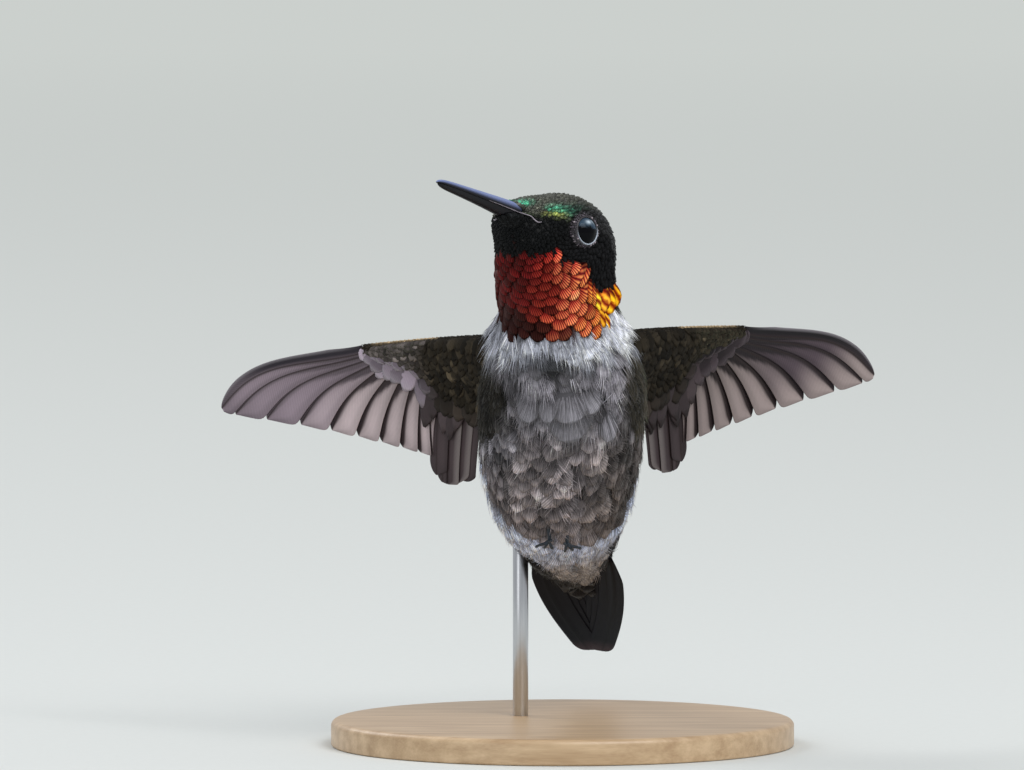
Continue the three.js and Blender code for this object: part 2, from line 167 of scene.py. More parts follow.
# Stations of the spine: x, y, z, half width, depth to the back, depth to the front, turn about Z.
STATIONS = np.array([
    (-5.6, -16.6, 22.0, 1.3, 1.0, 1.4, 35),  # base of the bill
    (-4.7, -14.9, 21.3, 4.3, 2.8, 4.0, 35),  # lores and chin
    (-2.9, -12.4, 20.4, 5.7, 4.2, 5.4, 34),  # eyes
    (-0.9, -9.6, 18.8, 7.1, 6.0, 6.3, 29),  # crown and cheeks
    (-0.4, -8.0, 15.0, 6.8, 5.9, 6.4, 20),  # nape and throat
    (-0.4, -7.2, 11.0, 7.2, 6.3, 6.8, 10),  # foot of the throat
    (-0.2, -5.6, 6.6, 8.9, 7.6, 8.2, 0),  # shoulders and upper breast
    (0.0, -3.2, 1.8, 9.9, 8.3, 9.2, -3),  # breast
    (-0.2, -0.4, -3.2, 9.9, 8.2, 9.2, -4),  # middle of the trunk
    (-0.3, 2.9, -8.0, 9.4, 7.6, 8.5, -4),  # belly
    (0.1, 6.9, -12.3, 8.2, 6.3, 7.0, -4),  # lower belly
    (0.8, 11.6, -16.0, 5.8, 4.5, 4.9, -4),  # vent
    (1.6, 16.8, -19.2, 3.3, 2.4, 0.9, -6),  # tail coverts
    (2.3, 21.4, -21.7, 1.5, 0.9, 0.3, -8),  # end of the coverts
])
LAST_STATION = len(STATIONS) - 1


def in_place(points):
    """Points of the bird's frame, turned by the bird's pitch about X, lifted over the stand, in metres."""
    x, y, z = np.moveaxis(np.asarray(points, float), -1, 0)
    c, s = math.cos(BIRD_PITCH), math.sin(BIRD_PITCH)
    return np.stack([x, y * c - z * s + BIRD_BACK, y * s + z * c + BIRD_HEIGHT], -1) * MM


def unit(v):
    """Vectors of the same directions, one long."""
    return v / np.linalg.norm(v, axis=-1, keepdims=True)


def smooth_step(low, high, value):
    """0 below low, 1 above high, and an S-shaped rise between them."""
    share = np.clip((value - low) / (high - low), 0, 1)
    return share * share * (3 - 2 * share)


def blend(a, b, share):
    """a where the share is 0, b where it is 1, and in proportion between."""
    return a + (b - a) * share


def station(t):
    """Row t of the stations, by a uniform Catmull-Rom curve through them, its end rows repeated."""
    t = np.asarray(t, float)
    i = np.clip(np.floor(t).astype(int), 0, LAST_STATION - 1)
    f = (t - i)[..., None]
    a, b, c, d = (STATIONS[np.clip(i + k, 0, LAST_STATION)] for k in (-1, 0, 1, 2))
    slope, after = (c - a) / 2, (d - b) / 2
    return b + f * (slope + f * ((3 * (c - b) - 2 * slope - after) + f * (2 * (b - c) + slope + after)))


def body_point(t, angle, swell=0.0):
    """The body's surface: middle of station t, plus cos(angle) half widths to the left and sin(angle) depths
    to the back or the front. Angles are in degrees: 0 is the bird's left, 90 its back and -90 its front."""
    t, angle, swell = np.broadcast_arrays(t, np.radians(angle), swell)
    row = station(t)
    along = unit(station(t + 0.02)[..., :3] - station(t - 0.02)[..., :3])
    turn = np.radians(row[..., 6])
    left = np.stack([np.cos(turn), -np.sin(turn), 0 * turn], -1)
    left = unit(left - along * (left * along).sum(-1, keepdims=True))
    up = unit(np.cross(left, along))
    depth = np.where(np.sin(angle) > 0, row[..., 4], row[..., 5])
    out = (np.cos(angle) * (row[..., 3] + swell))[..., None] * left
    return row[..., :3] + out + (np.sin(angle) * (depth + swell))[..., None] * up


# Each wing: side, shoulder, sweep back, droop of the tip, tilt of the hind edge and its twist to the tip.
WINGS = {
    "left": dict(side=1, at=(9.6, -4.2, 8.9), sweep=51.5, droop=-4.0, tilt=17.0, twist=2.0),
    "right": dict(side=-1, at=(-9.9, -4.2, 8.2), sweep=44.0, droop=0.6, tilt=15.0, twist=15.0),
}
WING_LENGTH = 44.0


def wing_point(wing, out, back, off):
    """A point of a wing: out along its span, back along its chord and off its sheet towards the bird's back.
    The sheet is cambered by a half sine over its chord and flexed by the square of the way out."""
    out, back, off = np.broadcast_arrays(out, back, off)
    side, b, d = wing["side"], math.radians(wing["sweep"]), math.radians(wing["droop"])
    span = np.array([side * math.cos(b) * math.cos(d), math.sin(b) * math.cos(d), -math.sin(d)])
    down = unit(np.array([0, 0, -1.0]) + span * span[2])
    behind = np.cross(span, down) * side
    tilt = np.radians(wing["tilt"] + wing["twist"] * out / WING_LENGTH)[..., None]
    chord = down * np.cos(tilt) + behind * np.sin(tilt)
    dorsal = np.cross(span, chord) * side
    camber = 1.1 * np.sin(np.pi * np.clip(back, 0, 18) / 18)
    flex = 2.6 * (out / WING_LENGTH) ** 2
    sheet = np.asarray(wing["at"]) + span * out[..., None] + chord * back[..., None]
    return sheet + dorsal * (off + camber - flex)[..., None]


ARM_START, ARM_LENGTH = -3.5, 25.0


def arm_section(share):
    """Chord, half thickness and place of the front edge of an arm, at a share of its length."""
    return blend(8.4, 3.0, share**0.8), blend(2.3, 0.45, share**0.7), blend(0.1, 1.15, share**1.5)


def arm_point(wing, share, angle, swell=0.0):
    """The arm and hand of a wing with their small coverts: an aerofoil that thins outwards. share runs from
    the shoulder to the wrist; angle 0 is its front edge, 90 its upper side, 180 behind, -90 underneath."""
    share, a, swell = np.broadcast_arrays(share, np.radians(angle), swell)
    chord, height, front = arm_section(share)
    chord, height, front = chord + 2 * swell, height + swell, front - swell
    return wing_point(
        wing, ARM_START + ARM_LENGTH * share, front + chord * (1 - np.cos(a)) / 2,
        np.sin(a) * height * (1 - 0.175 * (1 - np.cos(a))),
    )


def grid_faces(rows, columns, around=False):
    """Quads between neighbouring points of a grid, joined round its columns when it is a tube."""
    row = np.arange(rows - 1)[:, None] * columns
    j = np.arange(columns if around else columns - 1)[None]
    k = (j + 1) % columns
    return np.stack([row + j, row + k, row + columns + k, row + columns + j], -1).reshape(-1, 4)


def capped(points):
    """A tube's points with both ends closed: rows of points, and faces with a fan about each end's middle."""
    rows, columns = points.shape[:2]
    ends = np.stack([points[0].mean(0), points[-1].mean(0)])
    j = np.arange(columns)
    k = (j + 1) % columns
    first, last = rows * columns, (rows - 1) * columns
    fans = [np.stack([k * 0 + first, k, j], -1), np.stack([k * 0 + first + 1, last + j, last + k], -1)]
    return np.concatenate([points.reshape(-1, 3), ends]), [grid_faces(rows, columns, True), *fans]


def inside_out(points, faces):
    """True when the faces of a closed shape enclose a negative volume."""
    total = 0.0
    for group in faces:
        p = points[group]
        for k in range(1, group.shape[1] - 1):
            total += np.einsum("ij,ij->", p[:, 0], np.cross(p[:, k], p[:, k + 1]))
    return total < 0


def mesh_of(name, points, faces):
    """A mesh of closed shapes from points in metres and groups of triangles or quads, faces outwards."""
    faces = [np.asarray(group) for group in faces if len(group)]
    if inside_out(points, faces):
        faces = [group[:, ::-1] for group in faces]
    sizes = np.concatenate([np.full(len(group), group.shape[1]) for group in faces])
    corners = np.concatenate([group.ravel() for group in faces]).astype(np.int32)
    mesh = bpy.data.meshes.new(name)
    mesh.vertices.add(len(points))
    mesh.vertices.foreach_set("co", np.ascontiguousarray(points, np.float32).ravel())
    mesh.loops.add(len(corners))
    mesh.loops.foreach_set("vertex_index", corners)
    mesh.polygons.add(len(sizes))
    mesh.polygons.foreach_set("loop_start", np.concatenate([[0], np.cumsum(sizes)[:-1]]).astype(np.int32))
    mesh.polygons.foreach_set("use_smooth", np.ones(len(sizes), bool))
    mesh.update(calc_edges=True)
    mesh.validate()
    return mesh


def past_the_seam(mesh, uv):
    """A map by corner, in which a face that crosses the seam goes on past 1, not back over the whole map."""
    starts = np.zeros(len(mesh.polygons), np.int32)
    mesh.polygons.foreach_get("loop_start", starts)
    crossing = np.maximum.reduceat(uv[:, 0], starts) - np.minimum.reduceat(uv[:, 0], starts) > 0.5
    corners_each = np.diff(np.append(starts, len(uv)))
    onwards = np.repeat(crossing, corners_each) & (uv[:, 0] < 0.5)
    return uv + onwards[:, None] * (1, 0)


def add_piece(mesh, finish, nodes, maps, colours=None):
    """The object of a finished mesh: its material, maps and colours by point, riding on the one body, in
    place of CAD nodes."""
    piece = bpy.data.objects.new(mesh.name, mesh)
    bpy.context.scene.collection.objects.link(piece)
    mesh.materials.append(finish)
    corners = np.zeros(len(mesh.loops), np.int32)
    mesh.loops.foreach_get("vertex_index", corners)
    for map_name, places in maps.items():
        layer = mesh.uv_layers.new(name=map_name)
        uv = past_the_seam(mesh, places[corners]) if map_name == "OFBake" else places[corners]
        layer.data.foreach_set("uv", np.ascontiguousarray(uv, np.float32).ravel())
    if colours is not None:
        layer = mesh.color_attributes.new("Coat", "FLOAT_COLOR", "POINT")
        rgba = np.concatenate([np.clip(colours, 0, 1), np.ones((len(colours), 1))], 1)
        layer.data.foreach_set("color", np.ascontiguousarray(rgba, np.float32).ravel())
    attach(piece, "root")
    if nodes:
        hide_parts(*nodes)


# Markings, as colours by station and angle, shared by the skin and the feathers; body_colour() also paints
# light and shade over some of them. Each is written as linear red, green and blue.
BLACK_FACE = np.array((0.0075, 0.008, 0.0085))
CROWN_GREY = np.array((0.095, 0.098, 0.076))
CROWN_TEAL = np.array((0.045, 0.400, 0.225))
CROWN_GOLD = np.array((0.360, 0.370, 0.065))
BRONZE_GREEN = np.array((0.045, 0.120, 0.030))
OLIVE_FLANK = np.array((0.034, 0.029, 0.020))
COLLAR_WHITE = np.array((0.560, 0.575, 0.655))
BREAST_GREY = np.array((0.280, 0.265, 0.295))
BELLY_BROWN = np.array((0.245, 0.217, 0.228))
BAND_WHITE = np.array((0.570, 0.630, 0.800))
UNDERTAIL_BUFF = np.array((0.310, 0.285, 0.285))
TAIL_BLACK = np.array((0.006, 0.005, 0.008))
GORGET_RED = np.array((0.030, 0.007, 0.005))


def off_front(angle):
    """Degrees from the middle line of the breast, from 0 to 180."""
    return np.abs((np.asarray(angle, float) + 90 + 180) % 360 - 180)


def left_of_front(angle):
    """Degrees from the middle line of the breast towards the bird's left, negative towards its right."""
    return (np.asarray(angle, float) + 90 + 180) % 360 - 180


def gorget_edge(t, angle):
    """How far round from the front the red throat reaches at a station, in degrees. It widens from the chin
    to a corner behind the cheek, and its corner on the left is lower and sharper than on the right."""
    stations = (1.25, 1.75, 2.9, 3.5, 4.0, 4.4, 4.65, 4.85, 5.15, 5.4)
    left = np.interp(t, stations, (0, 51, 58, 59, 65, 74, 92, 92, 66, 48))
    right = np.interp(t, (1.25, 1.75, 2.5, 4.5, 5.5), (0, 50, 58, 92, 84))
    return np.where(left_of_front(angle) > 0, left, right)


def vent_end(angle):
    """The station at which the feathers under the tail end: a blunt tongue, a little to the left."""
    return 10.5 + 1.9 * np.exp(-(((left_of_front(angle) - 14) / 32) ** 4))


def body_colour(t, angle):
    """The bird's markings at stations and angles, as far as they differ from one feather to the next, with
    painted light and shade over the flanks, collar, breast and belly by how far round they lie.
    """
    t, angle = np.broadcast_arrays(np.asarray(t, float), angle)
    q = off_front(angle)
    shape = t.shape + (1,)

    def over(base, colour, share):
        return base + (colour - base) * np.reshape(share, shape)

    colour = np.broadcast_to(BRONZE_GREEN, t.shape + (3,)).copy()
    to_left = left_of_front(angle)
    bib = np.interp(t, (5.2, 5.9, 6.6, 7.4, 8.3), (92, 72, 43, 40, 84))
    front = 1 - smooth_step(-8, 12, q - bib)
    # painted light and shade: the flanks brighter on the bird's left, darker on its right
    light = np.interp(to_left, (-60, 60), (0.4, 1.25))
    turned_up = 86 + 16 * smooth_step(0, 40, -to_left)
    colour = over(colour, OLIVE_FLANK * light[..., None], 1 - smooth_step(0, 34, q - turned_up))
    breast = front * smooth_step(5.0, 5.3, t)
    # painted light: the collar and, below it, the breast brighter on the bird's left than on its right
    light = np.interp(to_left, (-90, 0, 50, 90), (0.88, 0.84, 1.62, 1.75))
    collar = (1 - smooth_step(84, 112, q)) * smooth_step(5.0, 5.2, t) * (1 - smooth_step(5.85, 6.2, t))
    colour = over(colour, COLLAR_WHITE * light[..., None], collar)
    light = np.interp(to_left, (-50, -10, 45), (0.66, 1.05, 1.58))
    colour = over(colour, BREAST_GREY * light[..., None], breast * smooth_step(5.85, 6.3, t))
    # painted light and shade: the belly brightest down its middle and darkest on the bird's left
    light = np.interp(to_left, (-60, 0, 50), (0.66, 1.3, 0.28))
    begins = 7.1 + 1.1 * smooth_step(25, 55, -to_left)
    brown = np.array((1.0, 0.96, 0.88)) ** smooth_step(5, 40, to_left)[..., None]
    colour = over(colour, BELLY_BROWN * brown * light[..., None], front * smooth_step(0, 0.7, t - begins))
    rising = np.where(to_left < 0, 9.8 - 0.95 * (q / 74) ** 3.5, 9.95 - 0.8 * smooth_step(55, 78, q))
    reach = 84 + 12 * smooth_step(0, 40, -to_left) + 10 * smooth_step(9.4, 10.0, t)
    band = (1 - smooth_step(0, 26, q - reach)) * smooth_step(0, 0.25, t - np.clip(rising, 8.5, 10))
    colour = over(colour, BAND_WHITE, band)
    colour = over(colour, UNDERTAIL_BUFF, band * smooth_step(10.3, 10.9, t))
    past_vent = smooth_step(0, 0.12, t - vent_end(angle)) * (1 - smooth_step(72, 84, q))
    colour = over(colour, TAIL_BLACK * 0.4, past_vent)
    head = 1 - smooth_step(4.2, 4.9, t)
    colour = over(colour, CROWN_GREY, head * smooth_step(96, 112, q))
    colour = over(colour, BLACK_FACE, (1 - smooth_step(92, 102, q)) * (1 - smooth_step(5.0, 5.25, t)))
    inside = smooth_step(-3, 3, gorget_edge(t, angle) - q) * (1 - smooth_step(5.3, 5.4, t))
    return over(colour, GORGET_RED, inside)


def body_map(t, angle):
    """The skin's unwrap: once round is the map's width and the length of the spine its height."""
    turn = (np.asarray(angle, float) + 270) % 360 / 360
    return np.stack([0.01 + 0.98 * turn, 0.01 + 0.98 * np.clip(t, -0.2, 13.4) / 13.6 + 0.015], -1)


def coat_depth(t):
    """How far under the outline the skin lies, in millimetres: least at the bill, most on the trunk."""
    return np.interp(t, (0, 0.6, 3, 5, 6.5, 10, 12, 13), (0.25, 0.3, 0.4, 0.6, 0.95, 0.95, 0.8, 0.45))


ring, turn = np.meshgrid(np.linspace(0, LAST_STATION, 150), np.arange(0, 360, 4.0), indexing="ij")
tubes = [capped(body_point(ring, turn, -coat_depth(ring)))]
for wing in WINGS.values():
    share, turn = np.meshgrid(np.linspace(0, 0.9, 40), np.arange(0, 360, 12.0), indexing="ij")
    tubes.append(capped(arm_point(wing, share, turn, -0.22)))
parts = []
for points, faces in tubes:
    points = in_place(points)
    parts.append(bpy.data.objects.new("flesh", mesh_of("flesh", points, faces)))
    bpy.context.scene.collection.objects.link(parts[-1])
flesh = parts[0]
for other in parts[1:]:
    joint = flesh.modifiers.new("join", "BOOLEAN")
    joint.operation = "UNION"
    joint.object = other
fused = flesh.modifiers.new("fuse", "REMESH")
fused.mode = "VOXEL"
fused.voxel_size = 0.35 * MM
eased = flesh.modifiers.new("ease", "SMOOTH")
eased.iterations = 6
bpy.context.view_layer.update()
skin_mesh = bpy.data.meshes.new_from_object(flesh.evaluated_get(bpy.context.evaluated_depsgraph_get()))
skin_mesh.name = "skin"
for part in parts:
    bpy.data.objects.remove(part)


def stations_of(points):
    """Station and angle of points near the body: the nearest middle of the spine, then the turn about it."""
    t = np.linspace(0, LAST_STATION, 400)
    middle = in_place(station(t)[:, :3])
    nearest = np.concatenate([
        np.argmin(((part[:, None] - middle) ** 2).sum(-1), 1) for part in np.array_split(points, 40)
    ])
    t = t[nearest]
    centre, left, back = (in_place(p) for p in (station(t)[:, :3], body_point(t, 0), body_point(t, 90)))
    across = ((points - centre) * unit(left - centre)).sum(-1)
    up = ((points - centre) * unit(back - centre)).sum(-1)
    return t, np.degrees(np.arctan2(up, across))


def own_colours(tree):
    """The colours that a piece has by point."""
    return add_node(tree, "ShaderNodeVertexColor", layer_name="Coat").outputs[0]


def scaled(tree, colour, share):
    """A colour made so many times as bright."""
    inputs = {0: colour, "Scale": share}
    return add_node(tree, "ShaderNodeVectorMath", inputs, operation="SCALE").outputs[0]


def add_relief(tree, shader, height, strength, depth):
    """Bumps in the shader's normal, from heights of 0 to 1 that stand for a depth in metres."""
    bump = add_node(tree, "ShaderNodeBump", {"Height": height, "Strength": strength, "Distance": depth})
    tree.links.new(bump.outputs[0], shader.inputs["Normal"])


def feather_finish(name, roughness, bump=0.3, streaks=26.0, contrast=0.25, along=0.0, groove=(1, 1, 1),
                   specular=0.2, mottled=0.5, narrow=1.0, **constants):
    """Feather: the piece's own colours, crossed by fine barbs and mottled with noise. The vane's own map
    gives the barbs: they repeat across it by streaks radians to a unit, and along it by along radians. The
    barbs are painted lighter and the grooves between them darker, as painted shade, and the grooves take a
    tint; a power, narrow, makes the barbs finer than the grooves."""
    finish, tree, shader = new_finish(name, roughness, specular, **constants)
    vane = add_node(tree, "ShaderNodeUVMap", uv_map="Vane")
    place = add_node(tree, "ShaderNodeSeparateXYZ", {0: vane.outputs[0]})
    fleck = noise(tree, own_place(tree), 2600.0, 3.0)
    waver = math_node(tree, "MULTIPLY", fleck, 2.2)
    lengthwise = math_node(tree, "MULTIPLY_ADD", place.outputs[1], along, waver)
    phase = math_node(tree, "MULTIPLY_ADD", place.outputs[0], streaks, lengthwise)
    round_barb = math_node(tree, "MULTIPLY_ADD", math_node(tree, "SINE", phase), 0.5, 0.5)
    height = math_node(tree, "POWER", round_barb, narrow)
    shade = math_node(tree, "MULTIPLY_ADD", height, 2 * contrast, 1 - contrast)
    mottle = math_node(tree, "MULTIPLY_ADD", fleck, mottled, 1 - mottled / 2)
    shaded = scaled(tree, own_colours(tree), math_node(tree, "MULTIPLY", shade, mottle))
    ridge = scaled(tree, [1 - part for part in groove], height)
    tint = add_node(tree, "ShaderNodeVectorMath", {0: ridge, 1: groove}, operation="ADD").outputs[0]
    tinted = add_node(tree, "ShaderNodeVectorMath", {0: shaded, 1: tint}, operation="MULTIPLY")
    tree.links.new(tinted.outputs[0], shader.inputs["Base Color"])
    add_relief(tree, shader, height, bump, 0.00004)
    return finish


skin_finish, tree, shader = new_finish("skin", 0.85)
pores = noise(tree, own_place(tree), 1800.0, 4.0)
dull = scaled(tree, own_colours(tree), math_node(tree, "MULTIPLY_ADD", pores, 0.6, 0.35))
tree.links.new(dull, shader.inputs["Base Color"])
add_relief(tree, shader, pores, 0.4, 0.0001)

skin_points = np.zeros(len(skin_mesh.vertices) * 3, np.float32)
skin_mesh.vertices.foreach_get("co", skin_points)
skin_points = skin_points.reshape(-1, 3).astype(float)
skin_t, skin_angle = stations_of(skin_points)
# painted shade: the skin is a third as bright as the feathers over it, and darker still under the wings'
# coverts
skin_colours = body_colour(skin_t, skin_angle) * 0.35
skin_colours[np.abs(skin_points[:, 0]) > 9.5 * MM] = OLIVE_FLANK * 0.6
skin_mesh.polygons.foreach_set("use_smooth", np.ones(len(skin_mesh.polygons), bool))
add_piece(
    skin_mesh, skin_finish, ["head", "neck", "trunk", "rump", "wing_left_arm", "wing_right_arm"],
    {"OFBake": body_map(skin_t, skin_angle)}, skin_colours,
)

# ---------- The coat of the head and the body ----------
# Contour feathers, each a thin closed vane that follows the skin under it and lifts towards its tip, in
# rings that overlap from the bill to the tail, smallest round the bill and eyes. Those of the breast, belly
# and flanks end in loose barbs.


def leaf(columns, rows):
    """A feather's blank: a grid from -1 to 1 across and 0 to 1 along, in two layers that share a rim. Gives
    each point's place across and along, its layer (1 above, -1 below, 0 on the rim), and the quads. Columns
    and rows are their numbers, or their places."""
    columns = np.linspace(-1, 1, columns) if np.isscalar(columns) else np.asarray(columns, float)
    rows = np.linspace(0, 1, rows) if np.isscalar(rows) else np.asarray(rows, float)
    across, along = np.tile(columns, len(rows)), np.repeat(rows, len(columns))
    columns, rows = len(columns), len(rows)
    inner = (np.abs(across) < 0.999) & (along > 0.001) & (along < 0.999)
    upper = grid_faces(rows, columns)
    under = np.arange(rows * columns)
    under[inner] = rows * columns + np.arange(inner.sum())
    layer = np.concatenate([inner * 1.0, -np.ones(inner.sum())])
    across, along = (np.concatenate([v, v[inner]]) for v in (across, along))
    return across, along, layer, np.concatenate([upper, under[upper][:, ::-1]])


def oval(along, rounding):
    """Half width of a contour feather as a share of its largest: it fills out from its root over the first
    half, and its last stretch, of the length given by rounding, closes in a quarter circle."""
    fill = 0.5 + 0.5 * np.sin(np.pi / 2 * np.clip(2 * along, 0, 1))
    into = np.clip(along - 1 + rounding, 0, None) / rounding
    return fill * np.sqrt(np.clip(1 - into**2, 0.02, 1))


# The coat's lie: lines down the body at each angle, each divided evenly along its own length, from the
# outline of the tube with the fold under the chin eased out.
LIE_ROWS, LIE_LINES, RAW_ROWS = 420, 181, 700
raw_t = np.linspace(-0.25, 13.3, RAW_ROWS)
lie_angles = np.linspace(-90, 270, LIE_LINES)
outline = body_point(raw_t[:, None], lie_angles[None])
CHIN, THROAT_FOOT = 1.0, 5.0  # the throat bows out evenly between these stations
hang = np.clip((raw_t - CHIN) / (THROAT_FOOT - CHIN), 0, 1)[:, None, None]
throat = blend(body_point(CHIN, lie_angles), body_point(THROAT_FOOT, lie_angles), hang)
outward = unit(body_point(2.6, lie_angles) - station(2.6)[:3])
throat = throat + np.sin(np.pi * hang) * outward * 0.3
hollow = ((throat - outline) * outward).sum(-1, keepdims=True)
bowed = (1 - smooth_step(70, 110, off_front(lie_angles)))[None, :, None] * smooth_step(-0.3, 0.3, hollow)
bowed = bowed * ((hang > 0) & (hang < 1))
outline = blend(outline, throat, bowed)
reach = np.arange(-40, 41)
kernel = np.exp(-((reach / 16) ** 2))
kernel /= kernel.sum()
eased = sum(
    k * outline[np.clip(np.arange(RAW_ROWS) + n, 0, RAW_ROWS - 1)] for n, k in zip(reach, kernel)
)
share = smooth_step(0.4, 0.9, raw_t) * (1 - smooth_step(4.6, 5.4, raw_t))
in_front = (1 - smooth_step(50, 90, off_front(lie_angles)))[None, :, None]
outline = blend(outline, eased, share[:, None, None] * in_front)
steps = np.linalg.norm(np.diff(outline, axis=0), axis=2)
reach = np.concatenate([np.zeros((1, LIE_LINES)), np.cumsum(steps, axis=0)])
LIE_LENGTH = reach[-1]
even = np.linspace(0, 1, LIE_ROWS)
LIE_STATION = np.stack([
    np.interp(even * reach[-1, j], reach[:, j], raw_t) for j in range(LIE_LINES)
], 1)
LIE = np.stack([
    np.stack([np.interp(LIE_STATION[:, j], raw_t, outline[:, j, k]) for k in range(3)], 1)
    for j in range(LIE_LINES)
], 1)
LIE[:, -1] = LIE[:, 0]
round_it = np.gradient(np.concatenate([LIE[:, -2:-1], LIE, LIE[:, 1:2]], 1), axis=1)[:, 1:-1]
LIE_WIDTH = np.linalg.norm(round_it, axis=2) / (lie_angles[1] - lie_angles[0])
LIE_OUT = unit(np.cross(round_it, np.gradient(LIE, axis=0)))
LIE_OUT *= np.sign(((LIE - station(LIE_STATION)[..., :3]) * LIE_OUT).sum(-1).mean())


def sampled(table, s, angle):
    """A table over the lie's lines, read between its rows and lines in proportion."""
    s, angle = np.broadcast_arrays(s, angle)
    row = np.clip(s, 0, 0.99999) * (LIE_ROWS - 1)
    line = (angle + 90) % 360 / 360 * (LIE_LINES - 1)
    i, j = row.astype(int), line.astype(int)
    f, g = row - i, line - j
    if table.ndim == 3:
        f, g = f[..., None], g[..., None]
    k = np.minimum(j + 1, LIE_LINES - 1)
    this_line = table[i, j] * (1 - f) + table[i + 1, j] * f
    next_line = table[i, k] * (1 - f) + table[i + 1, k] * f
    return this_line * (1 - g) + next_line * g


def on_body(places, heading, across, along, off):
    """Points set out in millimetres from places on the coat, one row for each place: along its heading in
    degrees from straight down the body, across that, and off the bed of the feathers."""
    s0, angle0 = places[:, :1], places[:, 1:]
    down = np.interp((angle0 + 90) % 360 - 90, lie_angles, LIE_LENGTH)
    round_it = np.maximum(sampled(LIE_WIDTH, s0, angle0), 0.02)
    c, s = np.cos(np.radians(heading)), np.sin(np.radians(heading))
    at = s0 + (along * c - across * s) / down, angle0 + (along * s + across * c) / round_it
    bed = 0.8 * coat_depth(sampled(LIE_STATION, s0, angle0))
    return sampled(LIE, *at) + sampled(LIE_OUT, *at) * (off - bed)[..., None]


def shingle(first, last, gap, width, measured_at, rng, jitter):
    """Places for overlapping feathers' tips: rings a gap apart, measured down the body at one angle between
    two stations of it, and places a width apart round each ring, half a step on in every second one, each
    moved a little. A place is its share of the way down the lie and its angle."""
    t = sampled(LIE_STATION, even, measured_at)
    length = float(np.interp(measured_at, lie_angles, LIE_LENGTH))
    inside = (t > first) & (t < last)
    fine = even[inside]
    path = np.concatenate([[0], np.cumsum(np.diff(fine) * length / gap(t[inside][1:]))])
    places = []
    for n, s in enumerate(np.interp(np.arange(0, path[-1]), path, fine)):
        wide = sampled(LIE_WIDTH, s, lie_angles) * (lie_angles[1] - lie_angles[0])
        around = np.concatenate([[0], np.cumsum(wide[:-1] / width(sampled(LIE_STATION, s, lie_angles[:-1])))])
        count = max(3, round(around[-1]))
        at = (np.arange(count) + 0.5 * (n % 2)) / count * around[-1]
        places.append(np.stack([np.full(count, s), np.interp(at, around, lie_angles)], 1))
    places = np.concatenate(places)
    t = sampled(LIE_STATION, *places.T)
    loose = rng.normal(0, jitter, places.shape) * np.stack([gap(t), width(t)], 1)
    steps = np.stack([np.full(len(places), length), sampled(LIE_WIDTH, *places.T)], 1)
    return places + loose / steps


def at_station(t, angle):
    """The place on the coat at one station and angle."""
    line = round((angle + 90) % 360 / 360 * (LIE_LINES - 1))
    return np.array([[np.interp(t, LIE_STATION[:, line], even), angle]])


def stations_at(places):
    """The stations of the spine that places on the coat lie at."""
    return sampled(LIE_STATION, places[:, 0], places[:, 1])


def repeated(faces, count, points_each):
    """The faces of one blank, repeated for that many copies of its points."""
    return (faces[None] + points_each * np.arange(count)[:, None, None]).reshape(-1, faces.shape[1])


def vanes(blank, length, width, lift, rounding=0.5, arch=0.06, thick=0.07, roll=0.0):
    """Feathers laid flat, tip at the origin: places across, along and off, one row each, from arrays of their
    lengths, widths and the lifts of their tips. Their roots go a little under, their edges bend down, and a
    roll raises one edge above the other."""
    across, along, layer = blank[:3]
    sizes = np.broadcast_arrays(length, width, lift, roll)
    length, width, lift, roll = (np.reshape(size, (-1, 1)) for size in sizes)
    wide = across * oval(along, rounding)
    off = lift * along**1.2 - 0.12 * (1 - along) - arch * width * wide**2 + roll * wide * width / 2 * along
    return wide * width / 2, (along - 1) * length, off + layer * thick / 2, wide / (0.35 + 0.65 * along)


BARB_POINTS = 7


def fringe(length, width, lift, count, rng, reach=0.45, splay=0.35, stout=0.09, curl=0.15, start=0.42):
    """Loose barbs at the end of each feather, tip at the origin: each a thin three-sided spike in two lengths
    that springs from the vane's outer half, fans outwards and runs past its rim by up to reach."""
    length, width, lift = (np.reshape(v, (-1, 1, 1)) for v in (length, width, lift))
    shape = (len(length), count, 1)
    spread = (np.linspace(-1, 1, count)[None, :, None] + rng.normal(0, 0.5 / count, shape))
    start = start + 0.12 * rng.random(shape)
    end = 1 + reach * rng.random(shape) - 0.34 * spread**2
    swing = rng.normal(0, 0.06, shape)
    level = np.array([0, 0, 0, 0.6, 0.6, 0.6, 1.0])  # three at the root, three at the bend, the tip
    side = np.array([-1, 1, 0, -1, 1, 0, 0.0])
    top = np.array([0, 0, 1, 0, 0, 1, 0.5])
    along = start + (end - start) * level
    out = spread * (0.62 * np.minimum(1, 0.3 + 1.7 * start) + splay * level) + swing * level**2
    girth = stout * (1 - 0.35 * level)
    off = lift * along**1.2 + girth * top * 0.8 - 0.03 + curl * rng.normal(0.3, 1, shape) * level**2 * 0.6
    across = out * width / 2 + side * girth / 2
    quads = np.array([(0, 1, 4, 3), (1, 2, 5, 4), (2, 0, 3, 5)])
    ends = np.array([(0, 2, 1), (3, 4, 6), (4, 5, 6), (5, 3, 6)])
    flat = lambda v: np.broadcast_to(v, (*shape[:2], BARB_POINTS)).reshape(len(length), -1)
    faces = [repeated(group, len(length) * count, BARB_POINTS) for group in (quads, ends)]
    on_map = flat(spread + side / count)
    return (flat(across), flat((along - 1) * length), flat(off), flat(spread), flat(along), on_map), faces


TUFT_PATCH = 0.003  # the share of the unwrap's width and height that a feather or fringe takes


def patches(middles, across, along):
    """Each tuft's own patch of the unwrap, about a middle for each."""
    patch = np.stack([across / (2 * np.abs(across).max()), along - 0.5], -1) * TUFT_PATCH
    return (middles[:, None] + patch).reshape(-1, 2)


def on_skin_map(places):
    """The middles of tufts' patches: where on the skin's own unwrap their tips lie."""
    return body_map(stations_at(places), places[:, 1])


